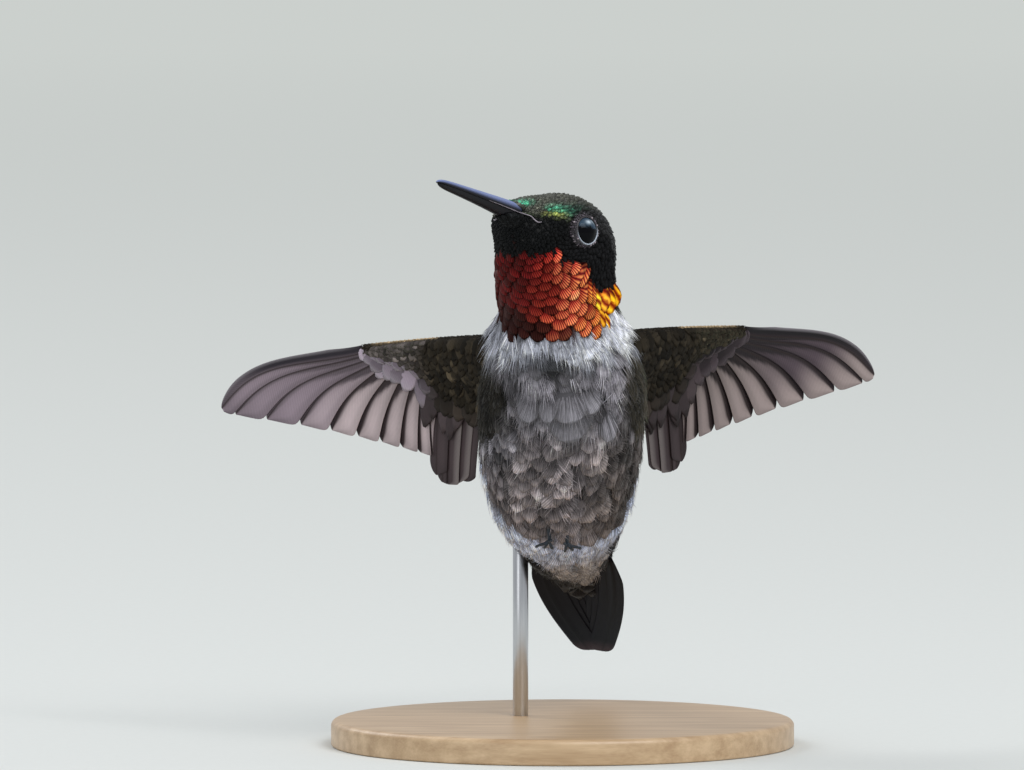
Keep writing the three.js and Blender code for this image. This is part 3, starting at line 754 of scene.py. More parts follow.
def coat_piece(name, finish, groups, nodes=()):
    """One piece of the coat from groups of feathers or fringes, each its points in the bird's frame, its
    faces, colours, bake map and vane map, all by point."""
    points, faces, colours, bake, vane = [], [], [], [], []
    start = 0
    for group in groups:
        points.append(group["points"].reshape(-1, 3))
        faces += [f + start for f in group["faces"]]
        start += len(points[-1])
        colours.append(np.broadcast_to(group["colours"], group["points"].shape).reshape(-1, 3))
        bake.append(group["bake"])
        vane.append(group["vane"].reshape(-1, 2))
    mesh = mesh_of(name, in_place(np.concatenate(points)), faces)
    maps = {"OFBake": np.concatenate(bake), "Vane": np.concatenate(vane)}
    add_piece(mesh, finish, nodes, maps, np.concatenate(colours))


def vane_group(points, blank, fan_out, colours, middles):
    """A group of vanes for coat_piece(), made from one blank: their points and colours, one row for each, how
    far their barbs fan out, and the middles of their patches of the unwrap."""
    x, y, faces = blank[0], blank[1], blank[3]
    return dict(
        points=points,
        faces=[repeated(faces, len(points), len(x))],
        colours=colours,
        bake=patches(middles, x, y),
        vane=np.stack([np.broadcast_to(v, points.shape[:2]) for v in (fan_out, y)], -1),
    )


def laid_vanes(places, heading, blank, colour_of, **shape):
    """A group of vanes on the body: colour_of gives their colours from places across and along."""
    across, along, off, fan_out = vanes(blank, **shape)
    points = on_body(places, np.reshape(heading, (-1, 1)), across, along, off)
    x, y = blank[:2]
    return vane_group(points, blank, fan_out, colour_of(x * oval(y, 0.5), y), on_skin_map(places))


def laid_fringe(places, heading, colour_of, rng, vary=0.35, **shape):
    """A group of fringes on the body, with colours from places along only; vary is how much one barb's
    brightness differs from the next."""
    (across, along, off, spread, share, on_map), faces = fringe(rng=rng, **shape)
    barb = rng.lognormal(0, vary, (len(places), across.shape[1] // BARB_POINTS))
    barb = np.repeat(barb, BARB_POINTS, axis=1)[..., None]
    return dict(
        points=on_body(places, np.reshape(heading, (-1, 1)), across, along, off),
        faces=faces,
        colours=colour_of(share) * barb,
        bake=patches(on_skin_map(places), on_map, np.clip(share, 0, 1)),
        vane=np.stack([spread, share], -1),
    )


# The head: crown, face and nape. The eyes are left free.
HEAD_YAW, HEAD_PITCH = math.radians(35), math.radians(14)
BILL_FORWARD = np.array([
    -math.sin(HEAD_YAW) * math.cos(HEAD_PITCH),
    -math.cos(HEAD_YAW) * math.cos(HEAD_PITCH),
    math.sin(HEAD_PITCH),
])
HEAD_LEFT = np.array([math.cos(HEAD_YAW), -math.sin(HEAD_YAW), 0])
HEAD_UP = np.cross(BILL_FORWARD, HEAD_LEFT)
EYE_OPENING = 1.5
EYE_PLACE = (-6.6, 4.7, -0.45)
EYE_AXIS = (0.25, 1.0, 0.05)


def head_point(along, left, up):
    """A point along, left of and above the middle of the face, in millimetres of the head's own axes."""
    along, left, up = (np.asarray(v, float)[..., None] for v in np.broadcast_arrays(along, left, up))
    return STATIONS[0, :3] + along * BILL_FORWARD + left * HEAD_LEFT + up * HEAD_UP


def from_eye(points):
    """Distance of points from the nearer eye's axis, in millimetres."""
    x, y, z = ((points - STATIONS[0, :3]) @ axis for axis in (BILL_FORWARD, HEAD_LEFT, HEAD_UP))
    v = np.stack([x, np.abs(y), z], -1) - EYE_PLACE
    axis = unit(np.array(EYE_AXIS))
    return np.where(np.abs(y) > 2, np.linalg.norm(v - (v @ axis)[..., None] * axis, axis=-1), 99.0)


def head_colour(places, rng):
    """Each head feather's colour: a black face, and a dark green crown with a teal brow and front, a gold
    streak over the lores and a bronze nape."""
    t, angle = stations_at(places), places[:, 1]
    q = off_front(angle)
    colour = body_colour(t, angle)
    crown = smooth_step(98, 112, q)[:, None]
    brow = np.exp(-(((q - 120) / 12) ** 2)) * smooth_step(0.7, 1.1, t) * (1 - smooth_step(2.0, 2.8, t))
    front = (1 - smooth_step(0.5, 1.2, t)) * smooth_step(140, 170, q)
    gold = np.exp(-(((q - 109) / 7) ** 2)) * smooth_step(0.5, 0.9, t) * (1 - smooth_step(1.3, 2.0, t))
    green = np.clip(brow + front, 0, 1)
    colour = blend(colour, CROWN_TEAL, crown * green[:, None] * 0.8)
    colour = blend(colour, CROWN_GOLD, np.clip(gold, 0, 1)[:, None] * 0.7)
    nape = smooth_step(3.0, 4.6, t)[:, None] * smooth_step(98, 116, q)[:, None]
    colour = blend(colour, BRONZE_GREEN * 0.7, nape)
    hind = smooth_step(1.4, 2.3, t) * (1 - smooth_step(118, 150, q)) * (1 - smooth_step(4.4, 5, t))
    colour = blend(colour, np.array((0.010, 0.010, 0.011)), hind[:, None])
    glint = np.exp(rng.normal(0, 1, len(t)) * (0.26 + 0.34 * green))[:, None]
    return colour * blend(1.0, glint, 0.35 + 0.65 * crown)


rng = np.random.default_rng(11)
gap = lambda t: np.interp(t, (0, 0.8, 2, 3.5, 5), (0.26, 0.34, 0.42, 0.56, 0.8))
width = lambda t: np.interp(t, (0, 0.8, 2, 3.5, 5), (0.38, 0.50, 0.62, 0.85, 1.2))
places = shingle(0.02, 5.35, gap, width, 60, rng, 0.2)
t, q = stations_at(places), off_front(places[:, 1])
eye_gap = from_eye(sampled(LIE, *places.T))
inside = gorget_edge(t, places[:, 1]) - q > 1.5
places = places[~inside & (eye_gap > EYE_OPENING + 0.55) & ~((q < 88) & (t > 4.4))]
t, q = stations_at(places), off_front(places[:, 1])
tone = head_colour(places, rng)[:, None]
crown_finish = feather_finish(
    "crown_feathers", 0.42, bump=0.35, streaks=15.0, contrast=0.2, metallic=0.4, specular=0.4,
)
face_finish = feather_finish("face_feathers", 0.8, bump=0.35, streaks=15.0, contrast=0.2, specular=0.08)
for name, finish, chosen in (("coat_crown", crown_finish, q > 96), ("coat_face", face_finish, q <= 96)):
    part, part_tone, part_t = places[chosen], tone[chosen], t[chosen]
    part_colour = lambda x, y: part_tone * blend(0.45, 1.15, smooth_step(0.45, 0.9, y))[:, None]
    coat_piece(name, finish, [laid_vanes(
        part, rng.normal(0, 7, len(part)), leaf(3, 5), part_colour, thick=0.05,
        length=gap(part_t) * 2.9, width=width(part_t) * 1.35, lift=0.2 + 0.07 * rng.random(len(part)),
    )])

# The red throat: larger scale-like feathers, each with bright barbs that fan to a thin dark rim, which is a
# painted shadow line between the scales. Light and sheen from the bird's left are painted over the throat.
rng = np.random.default_rng(12)
gap = lambda t: np.interp(t, (0.8, 1.5, 3, 5.3), (0.6, 0.78, 0.98, 1.1))
width = lambda t: np.interp(t, (0.8, 1.5, 3, 5.3), (1.0, 1.3, 1.7, 1.9))
places = shingle(1.1, 7.0, gap, width, -75, rng, 0.06)
t = stations_at(places)
lowest = 5.35 + 0.1 * smooth_step(10, 45, -left_of_front(places[:, 1]))
places = places[(gorget_edge(t, places[:, 1]) > off_front(places[:, 1])) & (t < lowest)]
t, angle = stations_at(places), places[:, 1]
to_left = left_of_front(angle)
sizes = gap(t)
# Painted light and sheen: the scales run from dark red on the bird's right to bright gold on its left, where
# the light strikes; the top on its right is painted redder and brighter.
around = to_left + 12 * (t - 4) + rng.normal(0, 6, len(t))
turns = (-80, -45, -14, 14, 40, 66, 80)
tone = np.stack([
    np.interp(around, turns, (0.055, 0.090, 0.160, 0.38, 1.0, 1.0, 1.0)),
    np.interp(around, turns, (0.004, 0.005, 0.012, 0.052, 0.330, 0.390, 0.470)),
    np.interp(around, turns, (0.004, 0.005, 0.010, 0.022, 0.110, 0.060, 0.008)),
], 1)
upper = (1 - smooth_step(1.6, 3.0, t))[:, None]
tone = tone * (1 + upper * (0.6 * smooth_step(5, 40, -to_left)[:, None] - np.array((0.0, 0.15, 0.05))))
low = 45 * smooth_step(4.6, 5.2, t)
# painted shade over the lower throat on the bird's right
painted_shade = smooth_step(4.2, 5.0, t) * (1 - smooth_step(-52, -28, to_left - low + rng.normal(0, 8, len(t))))
tone = blend(tone, np.array((0.017, 0.009, 0.006)), painted_shade[:, None] * 0.92)
glow = np.clip(rng.lognormal(-0.05, 0.30, len(t)), 0, blend(3.0, 1.25, smooth_step(0, 60, around)))
tone = (tone * glow[:, None] * (1 + 0.35 * smooth_step(52, 74, around))[:, None])[:, None]
lit_gold = smooth_step(66, 76, around)[:, None]  # the gold scales, painted where the light strikes, are nearly smooth, all others finely barbed
root_tone = tone * np.array((0.55, 0.16, 0.3))


def scale_colour(x, y):
    """Painted shade at the root, then red, gold towards the end of each barb, with a thin near-black rim
    painted as the shadow between the scales.
    """
    rim = np.clip(1 - np.abs(x) ** 7, 0, 1) * (1 - 0.92 * smooth_step(0.955, 1.0, y))
    glow = blend(root_tone, tone, smooth_step(0.5 - 0.3 * lit_gold, 0.92 - 0.32 * lit_gold, y)[..., None])
    shade = smooth_step(0.3 - 0.2 * lit_gold, 0.6 - 0.25 * lit_gold, y) * blend(rim, 1.0, 0.6 * lit_gold)
    return glow * shade[..., None] + 0.003


gorget_finish = feather_finish(
    "throat_scales", 0.36, bump=0.6, streaks=23.0, contrast=0.5, metallic=0.4,
    groove=(0.48, 0.05, 0.42), specular=0.3, narrow=0.95,
)
gorget_finish.node_tree.nodes["Principled BSDF"].inputs["Specular Tint"].default_value = (0.8, 0.25, 0.15, 1)
gorget = laid_vanes(
    places, rng.normal(0, 6, len(t)), leaf(7, 9), scale_colour,
    length=sizes * 2.5, width=width(t) * 1.22,
    lift=0.34 + 0.1 * rng.random(len(t)) + 0.3 * smooth_step(58, 74, to_left),
    rounding=0.42, arch=0.05, thick=0.06, roll=0.6 * smooth_step(38, 72, to_left),
)
gorget["vane"][..., 0] *= (width(t) / 1.9)[:, None] * (1 - 0.72 * lit_gold)
gorget["vane"][..., 0] += 0.068 * lit_gold
coat_piece("coat_gorget", gorget_finish, [gorget])

# The rest of the body, from the collar to the ends of the tail's coverts.
rng = np.random.default_rng(13)
gap = lambda t: np.interp(t, (4.4, 6, 10, 13), (0.8, 1.25, 1.3, 1.1))
width = lambda t: np.interp(t, (4.4, 6, 10, 13), (1.2, 2.1, 2.3, 1.5))
places = shingle(3.2, 13.2, gap, width, -10, rng, 0.24)
t, q = stations_at(places), off_front(places[:, 1])
to_left = left_of_front(places[:, 1])
collar_sides = (-125, -90, -75, -50, 0, 60, 75, 90, 125)
collar_top = np.interp(to_left, collar_sides, (4.9, 5.3, 5.35, 5.5, 5.25, 5.2, 5.0, 4.8, 4.6))
places = places[t > collar_top]
t, angle = stations_at(places), places[:, 1]
q = off_front(angle)
front = 1 - smooth_step(70, 110, q)
sizes = gap(t) * rng.lognormal(0, 0.12, len(t))
ripples = ((2.7, 0.11, 1), (1.9, -0.17, 0), (5.1, 0.05, 2))
patchy = 0.16 * sum(np.sin(down * t + round_it * angle + phase) for down, round_it, phase in ripples)
hollow = 0 * t  # painted shadows in the gaps between the plumes: station, degrees to the left, height, width, depth
for gap_t, gap_left, tall, wide, deep in (
    (5.98, -5, 0.17, 12, 2.8), (6.0, 31, 0.14, 5, 1.8), (6.36, -40, 0.18, 5, 1.8),
    (6.86, -22, 0.18, 5, 2.0), (6.95, 27, 0.22, 4.5, 2.0), (7.22, 33, 0.16, 4, 1.8),
):
    from_gap = left_of_front(angle) - gap_left
    hollow = hollow + deep * np.exp(-(((t - gap_t) / tall) ** 2) - (from_gap / wide) ** 2)
calm = smooth_step(9.2, 9.9, t)  # the white under the tail is smoother than the rest
patchy = patchy * smooth_step(5.8, 6.4, t) * (1 - 0.8 * calm) - hollow
under_plume = ((t - 6.7) / 0.6) ** 2 + ((left_of_front(angle) - 3) / 16) ** 2 < 1
# painted shadow under the big plume in the middle of the breast
patchy = patchy - 0.5 * under_plume
uneven = rng.normal(0, 0.33, len(t)) * (1 + 0.3 * smooth_step(7, 8, t) - 0.9 * calm)
tone = (body_colour(t, angle) * np.exp(patchy + uneven)[:, None])[:, None]
calm = calm[:, None, None]
belly = (front * smooth_step(6.6, 7.4, t) * (1 - smooth_step(9.4, 9.7, t)))[:, None, None]
breast = (front * (1 - smooth_step(7.0, 8.0, t)))[:, None, None]


def contour_colour(x, y):
    """Darker at the root. Belly feathers have a dusky middle and a pale edge, and breast ones a pale tip."""
    edge = np.clip(np.maximum(np.abs(x) ** 2, smooth_step(0.66, 1.0, y)), 0, 1)[..., None]
    scallop = blend(blend(0.75, 0.10, faint), blend(1.15, 1.75, faint), edge)
    plain = blend(0.5 + 0.35 * calm, 1.1, smooth_step(0.3, 0.9, y)[..., None])
    pale = blend(0.2, 0.75, smooth_step(0.4, 1.0, y))[..., None]
    return tone * (plain * (1 - belly - breast) + scallop * belly + pale * breast)


def barb_colour(y):
    """Loose barbs are paler than the vanes they spring from, and palest at their tips."""
    pale = blend(0.55 + 0.3 * calm, 1.35 - 0.2 * calm, smooth_step(0.4, 1.1, y)[..., None])
    return tone * (pale * (1 - belly) + blend(0.35, 1.25, smooth_step(0.6, 1.1, y))[..., None] * belly)


body_finish = feather_finish("body_feathers", 0.7, bump=0.4, streaks=30.0, contrast=0.32, sheen_weight=0.1)
heading = rng.normal(0, 13, len(t)) * (1 + 0.7 * smooth_step(7, 8, t))
faint = rng.uniform(0.25, 1.0, (len(t), 1, 1))  # how strongly a belly feather shows its dusky middle
tucked = smooth_step(5.2, 5.9, t)
lift = blend(0.12, 0.42, tucked) + 0.2 * rng.random(len(t)) * tucked
flare = np.exp(-(((t - 5.6) / 0.4) ** 2)) * smooth_step(35, 75, q) * (1 - smooth_step(112, 130, q))
lift = lift + flare * np.where((angle + 90) % 360 > 180, 0.6, 0.35)
lift = np.where(under_plume, 0.3 * lift, lift)
over_tail = smooth_step(10.8, 11.8, t) * (1 - smooth_step(45, 80, q))  # these lie over the roots of the tail
lift = lift + 0.9 * over_tail
broad = width(t) * 1.3 * rng.lognormal(0, 0.1, len(t)) * (1 + 0.5 * over_tail)
shape = dict(length=sizes * 2.9 * (1 + 0.2 * over_tail), width=broad, lift=lift)
body_vanes = laid_vanes(places, heading, leaf(5, 6), contour_colour, **shape)
coat_piece("coat_body", body_finish, [body_vanes])
everywhere = places, tone, belly, breast, calm
barbed = ((front > 0.3) | (q < 110)) & ~under_plume & (hollow < 1.6) & (t < 12.2)
for name, keep, count, run in (
    ("breast", barbed & (t < 7.6), 24, 0.52), ("belly", barbed & (t >= 7.6), 13, 0.45),
):
    places, tone, belly, breast, calm = (part[keep] for part in everywhere)
    part_shape = {key: value[keep] for key, value in shape.items()}
    coat_piece(f"coat_{name}_barbs", body_finish, [laid_fringe(
        places, heading[keep], barb_colour, rng, vary=0.4, count=count, stout=0.075, reach=run, **part_shape,
    )])

# Loose plumes that stand out of the breast: a broad one in the middle, smaller ones beside it, and a few
# single pale barbs without a vane. Each row: station, angle, heading, length, width, barbs, brightness.
FEWEST_WITH_VANE = 10
PLUMES = (
    (7.30, -87, 0, 6.4, 6.6, 110, 0.23), (6.90, -86, 2, 4.4, 5.6, 90, 0.27),
    (7.38, -60, 4, 4.8, 3.0, 40, 0.26), (6.95, -118, -10, 4.2, 3.4, 30, 0.20),
    (6.75, -70, 14, 4.4, 3.2, 34, 0.26), (6.9, -103, -6, 4.0, 2.6, 24, 0.22),
    (6.26, -82, 2, 3.0, 0.9, 3, 0.85), (6.55, -105, -4, 3.6, 0.5, 3, 0.70),
    (6.62, -42, 78, 3.4, 0.3, 1, 0.75), (6.35, -47, 112, 3.6, 0.3, 1, 0.70),
    (7.0, -72, -14, 3.4, 0.4, 2, 0.65), (7.25, -107, 12, 3.2, 0.4, 2, 0.60),
)
groups = []
for t, angle, heading, length, width, count, bright in PLUMES:
    place = at_station(t, angle)
    grey = np.array((1.0, 0.96, 1.06)) * bright
    full = count >= FEWEST_WITH_VANE
    lift = 1.35 if full else 0.9
    shape = dict(length=np.array([length]), width=np.array([width]), lift=np.array([lift]))
    if full:
        fill = lambda x, y: grey * blend(0.25, 0.9, smooth_step(0.2, 0.8, y))[..., None]
        groups.append(laid_vanes(place, [heading], leaf(9, 14), fill, rounding=0.6, **shape))
        groups[-1]["colours"] = groups[-1]["colours"][None]
        groups[-1]["vane"][..., 0] *= width / 1.8
    fine = lambda y: grey * blend(0.6, 1.5, smooth_step(0.5, 1.2, y))[..., None]
    groups.append(laid_fringe(
        place, [heading], fine, rng, vary=0.3, count=count, start=0.3 if full else 0.05,
        stout=0.085 if full else 0.13, reach=0.3, splay=0.45, **shape,
    ))
coat_piece("coat_breast_plumes", body_finish, groups)

# ---------- The wings ----------
# Ten primaries and six secondaries on each wing: stiff vanes about a dark shaft, pale below on the hind
# vane and dusky on the front one. Their roots are bound to the arm under rows of small coverts.
PRIMARIES, SECONDARIES = 10, 6
FLIGHT_THICK = 0.05
f = np.arange(PRIMARIES) / (PRIMARIES - 1)
spread = f**1.25 + 0.085 * np.sin(np.pi * f**4.5)
primaries = dict(
    root=np.stack([9.3 + 9.5 * f**1.1, 3.4 - 1.5 * f], 1),
    tip=np.stack([blend(12.4, WING_LENGTH + 0.9, spread), 15 - 6.5 * f**1.25], 1),
    bow=0.6 + 1.5 * f**2, front=blend(1.3, 1.0, f),
)
f = np.arange(SECONDARIES)[::-1] / (SECONDARIES - 1)
one = np.ones(SECONDARIES)
secondaries = dict(
    root=np.stack([8.2 - 5.2 * f, 3.6 * one], 1),
    tip=np.stack([12.3 - 4.6 * f, 17.2 + 1.1 * np.sin(2.6 * f**0.7)], 1),
    bow=0.4 * one, front=1.2 * one,
)
# From the innermost secondary, number 0, to the tenth primary, number 15.
FLIGHT = {key: np.concatenate([secondaries[key], primaries[key]]) for key in primaries}
COUNT = PRIMARIES + SECONDARIES
FORWARD = unit((FLIGHT["tip"] - FLIGHT["root"])[:, ::-1] * (1, -1))
FLIGHT_ROWS = np.sin(np.linspace(0, np.pi / 2, 46))


def shafts(v):
    """Middle lines of the flight feathers on the wing's sheet, bowed forward and back in at the tip."""
    root, tip, bow = (FLIGHT[key][:, None] for key in ("root", "tip", "bow"))
    line = root + (tip - root) * v[:, None]
    return line + FORWARD[:, None] * (bow * np.sin(np.pi * v**1.5))[..., None]


def hind_widths(shown, innermost):
    """Width of each flight feather's hind vane down its length: nearly out to the shaft of the next feather
    inwards, of whose front vane a share is shown, and cut off short of the tip by the straight line between
    the two feathers' tips. Every second secondary is broader."""
    line, fine = shafts(FLIGHT_ROWS), shafts(np.linspace(0, 1, 160))
    width = [np.full(len(FLIGHT_ROWS), innermost) * np.minimum(1, (1 - FLIGHT_ROWS) / 0.08) ** 0.5]
    for k in range(1, COUNT):
        to_next = np.linalg.norm(line[k][:, None] - fine[k - 1][None], axis=2).min(1)
        cut = FLIGHT["tip"][k - 1] - FLIGHT["tip"][k]
        ahead = FLIGHT["tip"][k] - line[k]
        cross = FORWARD[k, 1] * cut[0] - FORWARD[k, 0] * cut[1]
        to_cut = np.abs((ahead[:, 0] * cut[1] - ahead[:, 1] * cut[0]) / cross)
        peep = shown * (1 - 0.6 * FLIGHT_ROWS) * FLIGHT["front"][k - 1]
        broad = np.maximum(to_next - peep, 2.1 if k in (1, 3, 5) else 0.55)
        spare = 0.5 if k == COUNT - 1 else 0.12
        width.append(-np.log(np.exp(-3 * broad) + np.exp(-3 * (to_cut * 1.02 + spare))) / 3)
    return np.clip(width, 0.03, None)


def front_widths():
    """Width of each front vane: even from near the root until it closes at the tip, slowest on the tenth
    primary, which is also fuller at its root."""
    close = np.where(np.arange(COUNT) == COUNT - 1, 0.2, 0.1)[:, None]
    shut = np.sqrt(np.clip(1 - (np.clip(FLIGHT_ROWS - 1 + close, 0, None) / close) ** 2, 0.003, 1))
    width = FLIGHT["front"][:, None] * np.minimum(1, 0.4 + 3 * FLIGHT_ROWS) * shut
    width[-1] += 0.48 * np.exp(-FLIGHT_ROWS / 0.3)
    return width


def flight_feathers(wing):
    """Points of all the flight feathers of a wing, each tilted like a slat so that its hind vane lies under
    the next one's front vane, with a shaft that stands out below; and their places across and along."""
    columns = (-1, -0.96, -0.8, -0.6, -0.4, -0.2, -0.06, 0, 0.12, 0.35, 0.6, 0.9, 1)
    x, y, layer, faces = leaf(columns, len(FLIGHT_ROWS))
    row = np.rint(y * (len(FLIGHT_ROWS) - 1)).astype(int)
    v = FLIGHT_ROWS[row]
    hind = hind_widths(0.34, 1.7) if wing["side"] > 0 else hind_widths(0.12, 2.4)
    across = np.where(x > 0, front_widths()[:, row] * x, hind[:, row] * x)
    place = shafts(FLIGHT_ROWS)[:, row] + FORWARD[:, None] * across[..., None]
    quill = 0.16 * (1 - 0.85 * v) * np.exp(-((across / 0.13) ** 2))
    off = 0.1 * across + layer * (FLIGHT_THICK / 2 + quill)
    length = np.linalg.norm(FLIGHT["tip"] - FLIGHT["root"], axis=1)[:, None]
    return wing_point(wing, place[..., 0], place[..., 1], off), x, v, layer, faces, across, v * length


def flight_colour(x, v, layer, across, side):
    """Below: front vane and shaft dark brown, hind vane pale pinkish grey from a pointed start, mauve on the
    outer primaries. Above: purplish brown all over. The inner secondaries are duller. The right wing's
    underside is painted paler than the left's, as painted light on one and painted shade on the other, and
    each vane is painted darker at its root and towards its hind edge as painted shade."""
    n = np.arange(COUNT)[:, None, None]
    # painted light and shade: the right wing (side -1) is painted paler and brighter than the left throughout
    pale = np.array((0.31, 0.250, 0.240)) if side > 0 else np.array((0.49, 0.400, 0.410))
    pale = pale * (blend(0.75, 1.0, smooth_step(8, 12, n)) if side > 0 else 1.0)
    mauve = np.array((0.085, 0.062, 0.075)) if side > 0 else np.array((0.29, 0.230, 0.270))
    bright = 1 + (0.25 if side < 0 else 0.0) * np.exp(-(((n - 11.5) / 1.5) ** 2))
    end = smooth_step(0.6, 0.92, v)[None, :, None] * (side > 0)
    outer = smooth_step(10.5, 13.0, n)
    pale = blend(pale, blend(mauve, pale, end), outer) * bright
    dull = np.array((0.042, 0.030, 0.032)) * (1.0 if side > 0 else 1.5)
    pale = blend(dull, pale, smooth_step(5.0, 6.6, n))
    dark = np.array((0.020, 0.013, 0.014)) if side > 0 else np.array((0.055, 0.039, 0.043))
    dark = blend(dark, mauve * (0.35 if side > 0 else 0.6), outer)
    reach = 0.8 if side > 0 else 0.6
    grown = -x[None, :] - reach * (1 - smooth_step(0.15, 0.6, v))[None, :] - 0.04
    inward = smooth_step(0.0, 0.22, grown)
    below = blend(dark, pale, inward[..., None])
    # painted shade: darker towards the root and the hind edge of each vane, which rounds it
    middle = 1 - 0.35 * smooth_step(0.55, 1.0, -x) - (0.25 if side < 0 else 0.0) * smooth_step(0.8, 1.0, v)
    below = below * (middle * blend(0.7, 1.1, smooth_step(0.25, 0.8, v)))[None, :, None]
    rim = (smooth_step(0.93, 1.0, np.abs(x)) + smooth_step(0.985, 1.0, v))[None, :, None]
    below = below * (1 + 0.35 * np.clip(rim, 0, 1))
    streak = (smooth_step(0.4, 0.75, -x) * smooth_step(0.25, 0.5, v))[None, :, None] * ((n == 1) | (n == 3))
    below = blend(below, np.array((0.150, 0.128, 0.125)) * (1.0 if side > 0 else 1.4), streak * 0.8)
    last = n == COUNT - 1
    leading = np.array((0.012, 0.010, 0.012)) if side > 0 else np.array((0.030, 0.025, 0.033))
    front = (smooth_step(0.05, 0.3, x) * (1 - 0.7 * smooth_step(0.55, 0.95, v)))[None, :, None]
    below = blend(below, leading, front * last)
    edge = (smooth_step(0.78, 0.97, x) * smooth_step(0.0, 0.25, v))[None, :, None]
    below = blend(below, np.array((0.24, 0.22, 0.24)), edge * last)
    shaft = np.exp(-((across / 0.12) ** 2))[..., None]
    below = blend(below, np.array((0.026, 0.017, 0.016)), shaft * 0.85)
    above = np.array((0.036, 0.029, 0.036)) * (1 + 0.5 * smooth_step(0.7, 1, -x))[:, None]
    return blend(below, above[None], (layer > 0.5)[None, :, None] * 1.0)


def strips(count, x, v):
    """An unwrap of long feathers side by side, across by x from -1 to 1 and along by v from 0 to 1."""
    turn = (np.arange(count)[:, None] + 0.5 + 0.46 * x) / count
    return np.stack([turn, 0.01 + 0.98 * v + 0 * turn], -1).reshape(-1, 2)


flight_finish = feather_finish(
    "flight_feathers", 0.5, bump=0.25, streaks=0.0, along=15.0, contrast=0.1, mottled=0.12, specular=0.1,
)
for name, wing in WINGS.items():
    points, x, v, layer, faces, across, along = flight_feathers(wing)
    nodes = [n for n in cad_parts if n.startswith((f"wing_{name}_primary", f"wing_{name}_secondary"))]
    coat_piece(f"wing_{name}_flight_feathers", flight_finish, [dict(
        points=points,
        faces=[repeated(faces, COUNT, len(x))],
        colours=flight_colour(x, v, layer, across, wing["side"]),
        bake=strips(COUNT, x, v),
        vane=np.stack([across, along - 1.3 * np.abs(across)], -1),
    )], nodes)


def fan(n):
    """Root of the flight feather of any number, as if they went on evenly into the body, and its heading."""
    k = np.arange(COUNT)
    root, tip = (
        np.stack([np.interp(n, k, FLIGHT[key][:, i]) for i in range(2)], -1) for key in ("root", "tip")
    )
    return root + np.minimum(n, 0)[:, None] * (1.04, 0.0), unit(tip - root)


ARM_END = 19.6


def arm_under(out):
    """The arm's section at a place out on the wing."""
    return arm_section(np.clip((out - ARM_START) / ARM_LENGTH, 0, 1))


def arm_height(out, back):
    """Half the thickness of the arm and hand at a place on the wing's sheet, or 0 beside them."""
    chord, height, front = arm_under(out)
    c = np.clip((back - front) / chord, 0, 1)
    closed = np.sqrt(np.clip((ARM_END - out) / 2.5, 0, 1))
    return closed * height * 2 * np.sqrt(c * (1 - c)) * (1 - 0.35 * c)


def coverts(wing, face, n, reach, length, width, level, rng, colour_of, blank=leaf(5, 6)):
    """A row of coverts on one face of a wing, 1 above and -1 below. Their tips lie past the roots of the
    flight feathers numbered n by reach, they rest on the arm or on the row before, by level, and their
    roots gather along the arm's front edge where they would pass it."""
    root, ahead = fan(n)
    turn = rng.normal(0, 0.12, len(n))
    c, s = np.cos(turn), np.sin(turn)
    ahead = np.stack([ahead[:, 0] * c - ahead[:, 1] * s, ahead[:, 0] * s + ahead[:, 1] * c], 1)
    tip = root + ahead * np.reshape(reach + rng.normal(0, 0.22, len(n)), (-1, 1))
    tip[:, 1] = np.maximum(tip[:, 1], arm_under(tip[:, 0])[2] + 0.5)
    lift = 0.12 + 0.12 * rng.random(len(n))
    across, along, off, fan_out = vanes(blank, length, width, lift, arch=0.035, thick=0.045)
    sideways = ahead[:, ::-1] * (1, -1)
    place = tip[:, None] + ahead[:, None] * along[..., None] + sideways[:, None] * across[..., None]
    out, front = place[..., 0], arm_under(place[..., 0])[2]
    behind = place[..., 1] - front
    behind = np.where(behind > 0.6, behind, 0.6 * np.exp((np.minimum(behind, 0.6) - 0.6) / 0.6))
    rest = 0.14 + 0.05 * level * smooth_step(0, 1.5, behind)
    height = np.maximum(arm_height(out, front + behind), rest)
    points = wing_point(wing, out, front + behind, face * (height + off + 0.015 * level))
    middles = np.stack([
        0.02 + 0.96 * np.clip((tip[:, 0] + 5) / 35, 0, 1),
        0.02 + 0.44 * np.clip((tip[:, 1] + 2) / 18, 0, 1) + 0.24 * (face + 1),
    ], 1)
    return vane_group(points, blank, fan_out, colour_of(*blank[:2], n, rng), middles)


def covert_colour(near, far, rim, change=(4, 8), mottle=0.18, amount=0.6):
    """Colours of a row of coverts, from those near the body to the far ones, each with a rim of its own."""
    near, far, rim = (np.asarray(v) for v in (near, far, rim))

    def colour_of(x, y, n, rng):
        share = smooth_step(*change, n)
        tone = blend(near, far, share[:, None]) * rng.lognormal(0, mottle, len(n))[:, None]
        edge = smooth_step(0.8, 1.0, np.maximum(np.abs(x) * smooth_step(0.3, 0.8, y), y))
        body = tone[:, None] * blend(0.55, 1.05, smooth_step(0.2, 0.8, y))[:, None]
        return blend(body, rim, edge[None, :, None] * amount * share[:, None, None])

    return colour_of


